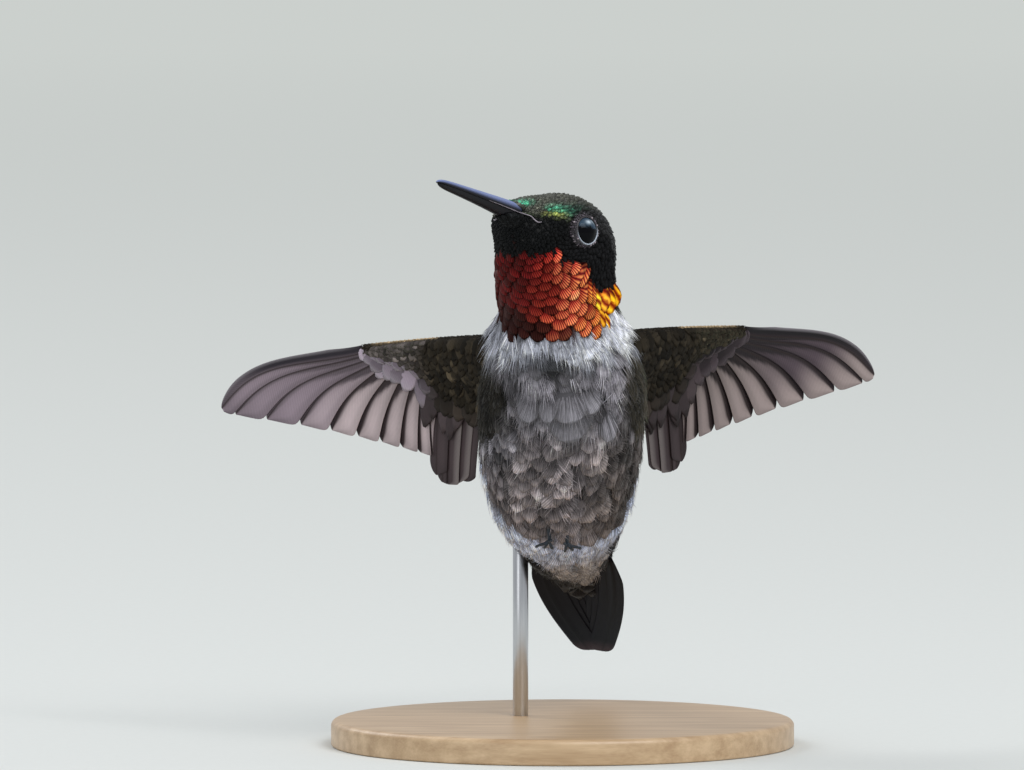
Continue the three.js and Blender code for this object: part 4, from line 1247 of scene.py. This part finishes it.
OLIVE_DARK = np.array((0.018, 0.014, 0.009))
covert_finish = feather_finish("wing_coverts", 0.8, bump=0.35, streaks=20.0, contrast=0.25, specular=0.1)
smooth_covert_finish = feather_finish(
    "large_coverts", 0.7, bump=0.15, streaks=34.0, contrast=0.06, specular=0.12, mottled=0.25,
)
glossy_finish = feather_finish("green_coverts", 0.45, bump=0.35, streaks=16.0, contrast=0.25, metallic=0.35)
LESSER_ROWS = 8
for name, wing in WINGS.items():
    left = wing["side"] > 0
    rng = np.random.default_rng(21 if left else 22)
    under, over = [], []
    number = lambda first, step: np.arange(first, COUNT - 0.9, step)
    row_scale = lambda n: np.interp(n, (0, 15), (1.0, 0.45))
    # painted light and shade: the right wing's coverts are painted paler than the left's, as its flight
    # feathers are
    mauve = np.array((0.040, 0.029, 0.034) if left else (0.33, 0.27, 0.33))
    rim = (0.20, 0.16, 0.18) if left else (0.56, 0.52, 0.56)
    n = number(0.5, 1.0)
    reach = np.interp(n, (0, 5, 7, 8, 11, 15), (9.5, 9.5, 7.0, 5.2, 4.4, 1.5))
    large = [coverts(
        wing, -1, n, reach, reach + 1.5, np.interp(n, (0, 7, 15), (2.6, 3.1, 2.1)), 1.5, rng,
        covert_colour((0.040, 0.030, 0.032), mauve * 0.9, rim, (6.5, 8.5), 0.3, 0.5), leaf(7, 9),
    )]
    n = number(-2.0, 1.1)
    reach = np.interp(n, (-2, 0, 5, 7, 8, 15), (8.5, 7.8, 6.4, 3.8, 2.4, 0.4))
    large.append(coverts(
        wing, -1, n, reach, 4.2 * row_scale(n), 2.6 * row_scale(n) + 0.5, 2.6, rng,
        covert_colour((0.024, 0.018, 0.014), mauve * (0.45 if left else 0.75), rim, (5, 9), 0.3),
    ))
    for k in range(LESSER_ROWS):
        n = number(-5.0, 0.55) + 0.28 * (k % 2)
        reach = np.interp(n, (-5, 0, 5, 8, 15), (7.5, 6.2, 4.4, 1.3, 0.2)) - 1.15 * row_scale(n) * k
        far = OLIVE_DARK * 1.3 if left else np.array((0.088, 0.074, 0.071))
        near = OLIVE_DARK * (1.0 if left else 1.25)
        lesser = covert_colour(near, far, (0.12, 0.12, 0.075), (5, 10), 0.5, 0.35)
        under.append(coverts(
            wing, -1, n, reach, 3.6 * row_scale(n), 1.5 * row_scale(n) + 0.2, 3.2 + 0.5 * k, rng, lesser,
        ))
    n = number(-2.0, 0.9)
    reach = np.interp(n, (0, 5, 8, 15), (8.6, 7.2, 4.4, 2.0))
    above = covert_colour((0.040, 0.045, 0.022), (0.040, 0.034, 0.040), (0.05, 0.05, 0.04))
    over.append(coverts(wing, 1, n, reach, reach + 2, 2.6 * row_scale(n) + 0.4, 1.5, rng, above))
    for k in range(LESSER_ROWS):
        n = number(-5.0, 0.6) + 0.3 * (k % 2)
        reach = np.interp(n, (-5, 0, 5, 8, 15), (7.0, 6.4, 5.0, 3.0, 1.2)) - 1.2 * row_scale(n) * k
        green = covert_colour(BRONZE_GREEN, BRONZE_GREEN * 0.8, BRONZE_GREEN * 1.4, mottle=0.3)
        over.append(coverts(
            wing, 1, n, reach, 3.0 * row_scale(n), 1.8 * row_scale(n) + 0.25, 2.4 + 0.5 * k, rng, green,
        ))
    coat_piece(f"wing_{name}_large_under_coverts", smooth_covert_finish, large)
    coat_piece(f"wing_{name}_under_coverts", covert_finish, under)
    coat_piece(f"wing_{name}_upper_coverts", glossy_finish, over)

    # The smallest coverts wrap the front edge of the arm, with a pale tan painted highlight along it towards
    # the wrist, where it catches the light.
    share, turn = np.meshgrid(np.arange(0.1, 0.9, 0.026), np.arange(-52, 60, 14.0), indexing="ij")
    share = share + 0.013 * (np.arange(share.shape[1]) % 2) + rng.normal(0, 0.004, share.shape)
    share, turn = share.reshape(-1, 1), turn.reshape(-1, 1) + rng.normal(0, 2, (share.size, 1))
    blank = leaf(3, 5)
    across, along, off, fan_out = vanes(blank, 1.7, 0.75, 0.1, arch=0.03, thick=0.035)
    step = np.linalg.norm(arm_point(wing, share, turn + 3) - arm_point(wing, share, turn - 3), axis=-1) / 6
    slant = math.radians(14) * np.sign(turn)
    share_at = share + (along * np.cos(slant) - across * np.sin(slant)) / ARM_LENGTH
    turn_at = turn + (along * np.sin(slant) + across * np.cos(slant)) / np.maximum(step, 0.02)
    in_line = np.exp(-(((turn - 6) / 22) ** 2))
    # painted highlight: a pale tan line along the lit front edge
    edge_highlight = (in_line * smooth_step(0.38, 0.46, share) * (1 - smooth_step(0.8, 0.86, share)))[..., None]
    tone = blend(OLIVE_DARK * 1.2, np.array((0.60, 0.44, 0.26)), edge_highlight)
    tone = tone * rng.lognormal(0, 0.15, share.shape)[..., None] * blend(0.6, 1.1, blank[1])[:, None]
    points = arm_point(wing, np.clip(share_at, 0, 1), turn_at, off)
    middles = np.stack([0.02 + 0.96 * share[:, 0], 0.97 + 0 * share[:, 0]], 1)
    coat_piece(f"wing_{name}_edge_coverts", covert_finish, [
        vane_group(points, blank, fan_out, tone, middles),
    ])

# ---------- The tail ----------
# Ten stiff feathers, five to a side, closed up one under another with the middle pair on top. They are
# green above in the middle and blackish below, and their quills are set in the rump under its coverts.
TAIL_ROOT = np.array((1.35, 11.2, -16.5))
TAIL_YAW, TAIL_FALL, TAIL_ROLL = (math.radians(v) for v in (-6.5, -27.0, 4.0))


def tail_point(out, back, off):
    """A point of the tail: left across it, back along it and off its sheet, which droops to the sides;
    rolled, lowered and turned about its root."""
    out, back, off = np.broadcast_arrays(out, back, off)
    off = off - 0.03 * out**2
    c, s = math.cos(TAIL_ROLL), math.sin(TAIL_ROLL)
    x, z = out * c + off * s, off * c - out * s
    c, s = math.cos(TAIL_FALL), math.sin(TAIL_FALL)
    y, z = back * c - z * s, back * s + z * c
    c, s = math.cos(TAIL_YAW), math.sin(TAIL_YAW)
    return TAIL_ROOT + np.stack([x * c - y * s, x * s + y * c, z], -1)


PAIRS = 5
side = np.repeat((1.0, -1.0), PAIRS)[:, None]
rank = np.tile(np.arange(PAIRS), 2)[:, None]
f = rank / (PAIRS - 1)
x, y, layer, faces = leaf((-1, -0.95, -0.7, -0.4, -0.15, 0, 0.15, 0.4, 0.7, 0.95, 1), 34)
v = np.sin(y * np.pi / 2)
closing = np.clip(1 - (np.clip(v - 0.9, 0, None) / 0.1) ** 3, 0.0002, 1) ** (1 / 3)
half = np.where((x * side) < 0, 1.9, 1.25) * (np.minimum(1, 0.35 + 3 * v) * closing)
middle = side * (blend(0.7 + 3.5 * f, 0.45 + 0.35 * f, v**1.3) + 0.7 * f * np.sin(np.pi * v))
length = 24.8 + 1.7 * f
quill = 0.15 * (1 - 0.85 * v) * np.exp(-((x * half / 0.13) ** 2))
off = -0.12 * (rank + 1) - 0.03 * (side > 0) - 0.05 * x * side * half + layer * (0.03 + quill)
shaft = np.exp(-((x * half / 0.15) ** 2))[..., None]
below = TAIL_BLACK * (0.45, 0.45, 0.65) * (1 + 0.6 * smooth_step(0.9, 1, np.abs(x)))[:, None]
below = blend(below, np.array((0.065, 0.042, 0.050)), smooth_step(0.88, 1.0, v)[:, None] * 0.8)
green, dusky = np.array((0.045, 0.110, 0.034)), np.array((0.020, 0.016, 0.024))
above = blend(green, dusky, smooth_step(0.1, 0.4, f)[..., None])
tail_finish = feather_finish(
    "tail_feathers", 0.42, bump=0.25, streaks=0.0, along=24.0, contrast=0.15, specular=0.04,
)
coat_piece("tail_feathers", tail_finish, [dict(
    points=tail_point(middle + x * half, v * length, off),
    faces=[repeated(faces, 2 * PAIRS, len(x))],
    colours=blend(below[None], above, (layer > 0.5)[None, :, None] * 1.0) * (1 - 0.5 * shaft),
    bake=strips(2 * PAIRS, x, v),
    vane=np.stack([x * half, v * length - 1.3 * np.abs(x * half)], -1),
)], ["tail_left", "tail_right"])

# ---------- The bill ----------
# Two long horny sheaths closed on each other, the upper one with a rounded ridge and sides that lap over the
# lower one, its top painted a pale bluish slate as a painted reflection of the sky. A thin paler edge runs
# back from their join into the skin of the gape.
BILL_LENGTH, BILL_SEAT, BILL_DROP = 16.0, 2.5, 0.35


def bill_axis(along):
    """The bill's middle line droops by the square of the way out, and it tapers to a blunt point; behind
    the face it shrinks into the flesh. Gives the droop and the taper."""
    reach = np.clip(along, 0, None) / BILL_LENGTH
    out = np.minimum(reach, 1)
    taper = (0.44 + 0.56 * (1 - out) ** 1.4) * np.sqrt(np.clip(1 - out**16, 0.002, 1))
    return -BILL_DROP * reach**2, taper * blend(0.3, 1.0, smooth_step(-1.7, 0.6, along))


share, a = np.meshgrid(
    np.sin(np.linspace(0, np.pi / 2, 60)), np.linspace(0, 2 * np.pi, 40)[:-1], indexing="ij",
)
horn_finish, tree, shader = new_finish("bill_horn", 0.42, specular=0.2)
tree.links.new(own_colours(tree), shader.inputs["Base Color"])
add_relief(tree, shader, noise(tree, own_place(tree), 2200.0, 4.0), 0.15, 0.00003)
for name, up, length, width, height in (
    ("upper", 1, BILL_LENGTH, 2.4, 1.3), ("lower", -1, BILL_LENGTH - 0.3, 2.1, 1.15),
):
    along = blend(-BILL_SEAT, length, share)
    fall, taper = bill_axis(along * BILL_LENGTH / length)
    bulge = np.sin(a)
    if up > 0:
        rise = np.where(bulge > 0, np.abs(bulge) ** 0.85, 0.10 * bulge)
    else:
        rise = np.where(bulge < 0, bulge, 0.12 * bulge)
    ridge = 0.07 * np.exp(-(((a - np.pi / 2) / 0.28) ** 2)) * (up > 0)
    above = fall + 0.02 * up + (rise * height + ridge) * taper
    points, faces = capped(head_point(along, np.cos(a) * width / 2 * taper, above))
    # painted reflection: the top of the upper sheath is pale bluish slate, standing for the sky's sheen on it
    top = np.concatenate([smooth_step(0.1, 0.75, bulge).ravel(), (0, 0)])[:, None] * (up > 0)
    tone = blend(np.array((0.0045, 0.004, 0.006)), np.array((0.180, 0.225, 0.430)), top)
    uv = np.stack([(a / (2 * np.pi)).ravel(), share.ravel()], -1)
    uv = np.concatenate([uv, [(0.5, 0), (0.5, 1)]])
    mesh = mesh_of(f"bill_sheath_{name}", in_place(points), faces)
    add_piece(mesh, horn_finish, [f"bill_{name}"], {"OFBake": uv}, tone)

# Tiny feathers lie back over the ridge at the bill's base in a wedge, and over the chin under it.


def bill_feathers(name, finish, rows, reach, to_side, ease, colour_of, rng):
    """Feathers on the bill's base, rooted at rows along it and reaching so many degrees to each side of its
    middle, above for to_side 90 and below for -90. They ride up on the face by ease towards its base."""
    spots = np.concatenate([
        np.stack([np.full(2 * n + 1, r), to_side + np.linspace(-w, w, 2 * n + 1)], 1)
        for r, w, n in zip(rows, reach, np.maximum(1, np.rint(reach / 16)).astype(int))
    ])
    spots += rng.normal(0, 1, spots.shape) * (0.05, 4.0)
    blank = leaf(3, 5)
    across, along, off, fan_out = vanes(blank, 0.75, 0.45, 0.16, thick=0.04)
    at = spots[:, :1] - along - 0.75
    fall, taper = bill_axis(at)
    swell = 0.10 + ease * smooth_step(rows[-1] - 0.2, -0.8, spots[:, :1]) + off
    around = np.radians(spots[:, 1:]) + across / 1.2
    full = np.maximum(taper, 0.6 * smooth_step(-3, -1, at) + 0.2)
    left, above = np.cos(around) * (1.2 * full + swell), np.sin(around) * (1.3 * full + swell)
    middles = body_map(0.1, to_side)[None] + (spots - (0, to_side)) * (0.003, 0.0004)
    tone = colour_of(spots)[:, None] * blend(0.5, 1.15, blank[1])[:, None]
    coat_piece(name, finish, [
        vane_group(head_point(at, left, fall + above), blank, fan_out, tone, middles),
    ])


def forehead_colour(spots):
    """Grey and teal over the ridge, black at the sides."""
    teal = rng.random((len(spots), 1)) * smooth_step(60, 95, spots[:, 1:])
    tone = blend(CROWN_GREY, CROWN_TEAL * 0.9, teal)
    side = smooth_step(30, 62, 110 - np.abs(spots[:, 1:] - 90))
    return blend(BLACK_FACE * 2, tone, side) * rng.lognormal(0, 0.4, (len(spots), 1))


rng = np.random.default_rng(41)
rows = np.arange(-1.6, 2.0, 0.2)
reach = np.interp(rows, (-1.6, 0, 1.0, 2.0), (78, 66, 46, 10))
bill_feathers("coat_forehead", crown_finish, rows, reach, 90, 0.25, forehead_colour, rng)
rows = np.arange(-1.6, 3.4, 0.18)
reach = np.interp(rows, (2.4, 3.4), (66, 20))
black = lambda spots: BLACK_FACE * 1.4 * rng.lognormal(0, 0.3, (len(spots), 1))
bill_feathers("coat_chin", face_finish, rows, reach, -90, 0.5, black, rng)

# The cutting edges, and the soft skin of the gape behind them, as one thin cord on each side.
gape_finish, tree, shader = new_finish("gape_skin", 0.5)
grain = noise(tree, own_place(tree), 1500.0, 3.0)
paint_between(tree, shader, grain, (0.10, 0.085, 0.11), (0.42, 0.37, 0.41))
CORD_SIDES = 8


def cord(path, radius):
    """A round cord along a path, of one radius or one for each of its points, as points and faces."""
    path = np.asarray(path, float)
    ahead = unit(np.gradient(path, axis=0))
    aside = unit(np.cross(ahead, (0.3, 0.2, 1.0)))
    upward = np.cross(ahead, aside)
    a = np.arange(CORD_SIDES) * 2 * np.pi / CORD_SIDES
    radius = np.reshape(radius * np.ones(len(path)), (-1, 1, 1))
    ring = np.cos(a)[None, :, None] * aside[:, None] + np.sin(a)[None, :, None] * upward[:, None]
    return capped(path[:, None] + radius * ring)


def curve(points, steps):
    """A smooth path through a few points, by the same kind of curve as the spine."""
    points = np.asarray(points, float)
    p = np.concatenate([[2 * points[0] - points[1]], points, [2 * points[-1] - points[-2]]])
    u = np.linspace(0, len(points) - 1 - 1e-9, steps)
    i, f = u.astype(int), (u % 1)[:, None]
    a, b, c, d = (p[i + k] for k in range(4))
    return b + f * ((c - a) / 2 + f * ((a * 2 - b * 5 + c * 4 - d) / 2 + f * (b * 3 - c * 3 + d - a) / 2))


GAPE_STEPS = 60
points, faces, maps, start = [], [], [], 0
for to_side in (1, -1):
    along = np.linspace(6.5, -0.2, 24)
    fall, taper = bill_axis(along)
    edge = head_point(along, to_side * 1.2 * taper, fall + 0.02)
    mirrored = lambda angle: angle if to_side > 0 else 180 - angle
    back = np.stack([
        body_point(t, mirrored(angle), 0.12) for t, angle in ((0.22, 0), (0.36, -7), (0.5, -11), (0.6, -8))
    ])
    along = np.linspace(0.02, 0.98, GAPE_STEPS)
    thick = 0.075 * np.sin(np.pi * along) ** 0.35
    thick = thick * np.interp(np.arange(GAPE_STEPS), (0, 40, GAPE_STEPS), (0.45, 0.8, 1.5))
    p, group = cord(curve(np.concatenate([edge[::4], back]), GAPE_STEPS), thick)
    points.append(p)
    faces += [g + start for g in group]
    start += len(p)
    run, turn = np.meshgrid(along, np.arange(CORD_SIDES) / CORD_SIDES, indexing="ij")
    across = 0.5 + to_side * 0.25 + 0.2 * (turn - 0.5)
    ends = [(0.5 + to_side * 0.25, 0.01), (0.5 + to_side * 0.25, 0.99)]
    maps.append(np.concatenate([np.stack([across, run], -1).reshape(-1, 2), ends]))
mesh = mesh_of("gape_edges", in_place(np.concatenate(points)), faces)
add_piece(mesh, gape_finish, (), {"OFBake": np.concatenate(maps)})

# ---------- The eyes ----------
# Glass balls painted behind, near black with a painted reflection of the sky as a bluish glint above and two
# painted highlights in it, set deep in the head. A thin rim of lid lies on each, with a painted reflection
# along its pale edge behind and below, and small beads of skin and feather ring it.
EYE_RADIUS = 2.0
LID_STEPS = 14
BEAD_RINGS = (36, 38, 36)
glass_finish, tree, shader = new_finish("eye_glass", 0.05, 0.04, coat_weight=0.03, coat_roughness=0.02)
tree.links.new(own_colours(tree), shader.inputs["Base Color"])
lid_finish, tree, shader = new_finish("eyelids", 0.45)
tree.links.new(own_colours(tree), shader.inputs["Base Color"])
add_relief(tree, shader, noise(tree, own_place(tree), 3000.0, 3.0), 0.35, 0.00005)


def eye_point(to_side, polar, turn, radius):
    """A point about an eye's middle: polar degrees from its axis and turned round it, 0 towards the bill and
    90 upwards, at a radius."""
    axis = unit(np.array((EYE_AXIS[0], EYE_AXIS[1] * to_side, EYE_AXIS[2])))
    ahead = unit(np.array((1.0, 0, 0)) - axis * axis[0])
    above = np.array((0, 0, 1.0)) - axis * axis[2]
    above = unit(above - ahead * (above @ ahead))
    polar, turn, radius = np.broadcast_arrays(np.radians(polar), np.radians(turn), radius)
    around = np.cos(turn)[..., None] * ahead + np.sin(turn)[..., None] * above
    v = (np.cos(polar)[..., None] * axis + np.sin(polar)[..., None] * around) * radius[..., None]
    v = v + np.array((EYE_PLACE[0], EYE_PLACE[1] * to_side, EYE_PLACE[2]))
    return head_point(v[..., 0], v[..., 1], v[..., 2])


for name, to_side in (("left", 1), ("right", -1)):
    rng = np.random.default_rng(31)
    polar, turn = np.meshgrid(np.linspace(2, 178, 64), np.arange(0, 360, 5.0), indexing="ij")
    points, faces = capped(eye_point(to_side, polar, turn, EYE_RADIUS))
    # painted reflection: a bluish sky reflection over the upper part of the ball, ragged at its edge, and two
    # painted highlights in it
    upward = np.sin(np.radians(polar)) * np.sin(np.radians(turn))
    ragged = 0.05 * np.sin(np.radians(turn * 3 + 40)) + 0.03 * np.sin(np.radians(turn * 8))
    glint = smooth_step(0.10, 0.34, upward + ragged) * (1 - smooth_step(44, 52, polar))
    tone = blend(np.array((0.003, 0.003, 0.004)), np.array((0.040, 0.066, 0.098)), glint[..., None])
    painted_highlight = np.exp(-(((polar - 29) / 7) ** 2) - (((turn - 76) / 20) ** 2))
    painted_highlight = painted_highlight + 0.5 * np.exp(-(((polar - 38) / 5) ** 2) - (((turn - 112) / 16) ** 2))
    tone = blend(tone, np.array((0.62, 0.72, 0.80)), np.clip(painted_highlight, 0, 1)[..., None] * 0.8)
    tone = np.concatenate([tone.reshape(-1, 3), np.full((2, 3), 0.003)])
    uv = np.concatenate([np.stack([turn / 360, polar / 180], -1).reshape(-1, 2), [(0.5, 0), (0.5, 1)]])
    mesh = mesh_of(f"eye_glass_{name}", in_place(points), faces)
    add_piece(mesh, glass_finish, [f"eye_{name}"], {"OFBake": uv}, tone)

    # The lids: a shell with a rounded free edge that runs back under the feathers; the edge is painted pale
    # behind and below as a painted reflection.
    turn, path = np.meshgrid(np.arange(0, 360, 5.0), np.arange(LID_STEPS), indexing="ij")
    turns = (0, 1, 2, 3, 4, 6, 9, 10, 13)
    polar = np.interp(path, turns, (47.2, 46.4, 46.8, 48.5, 52, 62, 80, 80, 50))
    radius = np.interp(path, turns, (2.0, 2.07, 2.14, 2.17, 2.16, 2.14, 2.1, 1.96, 1.97))
    points = eye_point(to_side, polar + 1.2 * np.sin(np.radians(turn * 2 - 60)), turn, radius)
    here = np.arange(LID_STEPS)
    onward, last = (here + 1) % LID_STEPS, (len(turn) - 1) * LID_STEPS
    close = np.concatenate([
        grid_faces(len(turn), LID_STEPS, True), np.stack([last + here, last + onward, onward, here], -1),
    ])
    # painted reflection: the free edge is pale behind and below, where the wet rim catches the light
    pale = smooth_step(-0.35, 0.6, np.cos(np.radians(turn - 250)))
    free = np.exp(-(((path - 1.5) / 1.3) ** 2))
    tone = blend(np.array((0.022, 0.018, 0.022)), np.array((0.50, 0.56, 0.64)), (free * pale)[..., None])
    uv = np.stack([turn / 360, path / LID_STEPS], -1).reshape(-1, 2)
    mesh = mesh_of(f"eyelid_{name}", in_place(points.reshape(-1, 3)), [close])
    add_piece(mesh, lid_finish, (), {"OFBake": uv}, tone.reshape(-1, 3))

    # Beads round the lids, in three rings, violet grey with a few whitish ones behind and below.
    ring = np.repeat((0, 1, 2), BEAD_RINGS)
    turn = np.concatenate([np.arange(count) * 360 / count + 4 * k for k, count in enumerate(BEAD_RINGS)])
    polar = np.array((54.0, 61.0, 69.0))[ring] + rng.normal(0, 1.8, len(ring))
    turn = turn + rng.normal(0, 3.5, len(ring))
    fall, a = np.linspace(0.25, np.pi - 0.25, 5)[:, None], np.radians(np.arange(0, 360, 45.0))
    ball = np.broadcast_arrays(np.sin(fall) * np.cos(a), np.sin(fall) * np.sin(a), np.cos(fall))
    ball, ball_faces = capped(np.stack(ball, -1))
    size = rng.uniform(0.55, 1.1, (len(ring), 1))
    across = ball[:, 0] * 5.2 * size
    around = ball[:, 1] * 3.4 * size / np.sin(np.radians(polar))[:, None]
    radius = 2.17 + 0.13 * ball[:, 2] * size
    points = eye_point(to_side, polar[:, None] + across, turn[:, None] + around, radius)
    behind = smooth_step(0.5, 0.95, np.cos(np.radians(turn - 190)))
    behind = behind + 0.4 * smooth_step(0.8, 0.97, np.cos(np.radians(turn - 305)))
    white = (rng.random(len(ring)) < 0.04 + 0.75 * behind)[:, None] * rng.uniform(0.2, 0.7, (len(ring), 1))
    tone = np.array((0.034, 0.027, 0.036)) * rng.lognormal(0, 0.6, (len(ring), 1))
    tone = blend(tone, np.array((0.46, 0.40, 0.43)), white)
    around_lid = np.stack([np.cos(np.radians(turn)), np.sin(np.radians(turn))], -1) * polar[:, None] * 0.0005
    bake = (body_map(2.2, -1 if to_side > 0 else 181) + around_lid)[:, None] + ball[:, :2] * 0.0015
    faces = [repeated(group, len(ring), len(ball)) for group in ball_faces]
    mesh = mesh_of(f"eye_beads_{name}", in_place(points.reshape(-1, 3)), faces)
    tone = np.repeat(tone, len(ball), axis=0)
    add_piece(mesh, lid_finish, (), {"OFBake": bake.reshape(-1, 2)}, tone)

# ---------- The feet ----------
# Short shanks and small curled toes with claws, tucked into the white feathers of the lower belly. The skin
# is scaly, and the claws are dark horn.
ANKLES_AT, ANKLE_OUT, TO_RIGHT = 9.58, 1.0, 0.8
foot_finish, tree, shader = new_finish("foot_scales", 0.5)
plates = add_node(tree, "ShaderNodeTexVoronoi", {"Vector": own_place(tree), "Scale": 4500.0}).outputs[0]
paint_between(tree, shader, plates, (0.005, 0.011, 0.020), (0.014, 0.024, 0.036))
add_relief(tree, shader, plates, 0.5, 0.00005)


def on_belly(t, out, off):
    """A point off the belly at a station, out from a line a little to the right of its middle."""
    return body_point(t, -math.degrees(math.acos((out - TO_RIGHT) / station(t)[3])), off)


for name, to_side in (("left", 1), ("right", -1)):
    points, faces, start = [], [], 0
    at = ANKLES_AT + 0.05 * to_side
    shank = [on_belly(at - rise, to_side * (ANKLE_OUT + aside), off) for rise, aside, off in (
        (0.5, 0.3, -1.5), (0.3, 0.2, -1.1), (0.15, 0.1, -0.5), (0.0, 0.0, 0.1),
    )]
    limbs = [(curve(shank, 24), np.linspace(0.3, 0.22, 24))]
    for n in (-1, 0, 1):
        bends = (
            (0.0, 0.0, 0.1), (0.04, 1.0, 0.5), (0.10 - 0.02 * n * to_side, 1.9, 0.6), (0.16, 2.5, 0.45),
            (0.18, 2.6, 0.15),
        )
        toe = [
            on_belly(at + fall, to_side * (ANKLE_OUT + 0.22 * away) + 0.36 * n * away, off)
            for fall, away, off in bends
        ]
        limbs.append((curve(toe, 30), None))
    hind = [on_belly(at - rise, to_side * (ANKLE_OUT - aside), off) for rise, aside, off in (
        (0.0, 0.0, 0.1), (0.04, 0.15, 0.5), (0.08, 0.3, 0.6), (0.10, 0.35, 0.4),
    )]
    limbs.append((curve(hind, 24), None))
    for path, girth in limbs:
        u = np.linspace(0, 1, len(path))
        if girth is None:  # a toe with three joints, whose last stretch is the claw
            claw = np.sqrt(np.clip(1 - smooth_step(0.62, 1.0, u) * 0.97, 0, 1))
            girth = (0.19 - 0.05 * u + 0.02 * np.cos(u * 6 * np.pi)) * claw
        p, group = cord(path, girth)
        points.append(p)
        faces += [g + start for g in group]
        start += len(p)
    mesh = mesh_of(f"foot_and_toes_{name}", in_place(np.concatenate(points)), faces)
    uv = np.stack([(np.arange(start) % CORD_SIDES) / CORD_SIDES, np.arange(start) / start], -1)
    add_piece(mesh, foot_finish, [f"leg_{name}", f"foot_{name}"], {"OFBake": uv})

# ---------- The stand ----------
# A turned disc of pale wood with rounded edges, and a bright drawn steel rod let into it, which goes up into
# the bird's belly.
BASE_RADIUS, BASE_HEIGHT = 27.0, 3.0
ROD_RADIUS, ROD_TOP, SOCKET_DEPTH = 0.9, 27.0, 2.0
ROD_AT = np.array((-4.9, 4.6, 0.0))
BASE_SEGMENTS, ROD_SEGMENTS = 128, 48


def drawn_out(tree, place, x, y, z):
    """A place scaled along each axis, so that noise on it is drawn out along the axes scaled least."""
    return add_node(tree, "ShaderNodeMapping", {"Vector": place, "Scale": (x, y, z)}).outputs[0]


wood_finish, tree, shader = new_finish("turned_wood", 0.42, coat_weight=0.25, coat_roughness=0.3)
place = own_place(tree)
bent = add_node(tree, "ShaderNodeTexNoise", {"Vector": place, "Scale": 40.0, "Detail": 2.0}).outputs["Color"]
moved = add_node(
    tree, "ShaderNodeVectorMath", {0: drawn_out(tree, place, 0.06, 1, 1), 1: scaled(tree, bent, 0.004)},
    operation="ADD",
)
rings = noise(tree, moved.outputs[0], 700.0, 3.0)
fibre = noise(tree, drawn_out(tree, place, 0.03, 1, 1), 5000.0, 2.0)
both = math_node(tree, "MULTIPLY_ADD", fibre, 0.35, rings)
grain = add_node(tree, "ShaderNodeMapRange", {"Value": both, "From Min": 0.45, "From Max": 0.9}).outputs[0]
paint_between(tree, shader, grain, (0.60, 0.43, 0.26), (0.40, 0.26, 0.14))
add_relief(tree, shader, fibre, 0.08, 0.00005)


def turned(profile, middle, segments):
    """A turned shape: a profile of radii and heights swept round an axis through middle."""
    a = np.arange(segments) * 2 * np.pi / segments
    radius, height = np.asarray(profile, float).T
    ring = np.stack([radius[:, None] * np.cos(a), radius[:, None] * np.sin(a), height[:, None] + 0 * a], -1)
    return capped((ring + middle) * MM)


bend = np.linspace(0, np.pi / 2, 7)
profile = np.concatenate([
    [(BASE_RADIUS - 0.3, 0)],
    np.stack([BASE_RADIUS - 0.15 + 0.15 * np.sin(bend), 0.25 - 0.25 * np.cos(bend)], 1),
    np.stack([BASE_RADIUS - 0.7 + 0.7 * np.cos(bend), BASE_HEIGHT - 0.7 + 0.7 * np.sin(bend)], 1),
    [(BASE_RADIUS - 4, BASE_HEIGHT), (4, BASE_HEIGHT)],
])
points, faces = turned(profile, (0, 0, 0), BASE_SEGMENTS)
mesh = mesh_of("stand_base_wood", points, faces)
run = np.concatenate([[0], np.cumsum(np.linalg.norm(np.diff(profile, axis=0), axis=1))])
around = np.arange(BASE_SEGMENTS) / BASE_SEGMENTS
uv = np.stack(np.meshgrid(around, 0.15 + 0.75 * run / run[-1]), -1).reshape(-1, 2)
uv = np.concatenate([uv, [(0.5, 0), (0.5, 1)]])
add_piece(mesh, wood_finish, ["stand_base"], {"OFBake": uv})

steel_finish, tree, shader = new_finish("drawn_steel", 0.28, metallic=1.0)
lines = noise(tree, drawn_out(tree, own_place(tree), 1, 1, 0.01), 9000.0, 2.0)
paint_between(tree, shader, lines, (0.42, 0.43, 0.45), (0.66, 0.67, 0.69))
add_relief(tree, shader, lines, 0.1, 0.00003)
low, narrow = BASE_HEIGHT - SOCKET_DEPTH, ROD_RADIUS - 0.1
profile = [(narrow, low), (ROD_RADIUS, low + 0.1), (ROD_RADIUS, ROD_TOP - 0.1), (narrow, ROD_TOP)]
points, faces = turned(profile, ROD_AT, ROD_SEGMENTS)
mesh = mesh_of("stand_rod_steel", points, faces)
around = np.append(np.tile(np.arange(ROD_SEGMENTS) / ROD_SEGMENTS, len(profile)), (0.5, 0.5))
uv = np.stack([around, points[:, 2] / (ROD_TOP * MM)], -1)
add_piece(mesh, steel_finish, ["stand_rod"], {"OFBake": uv})
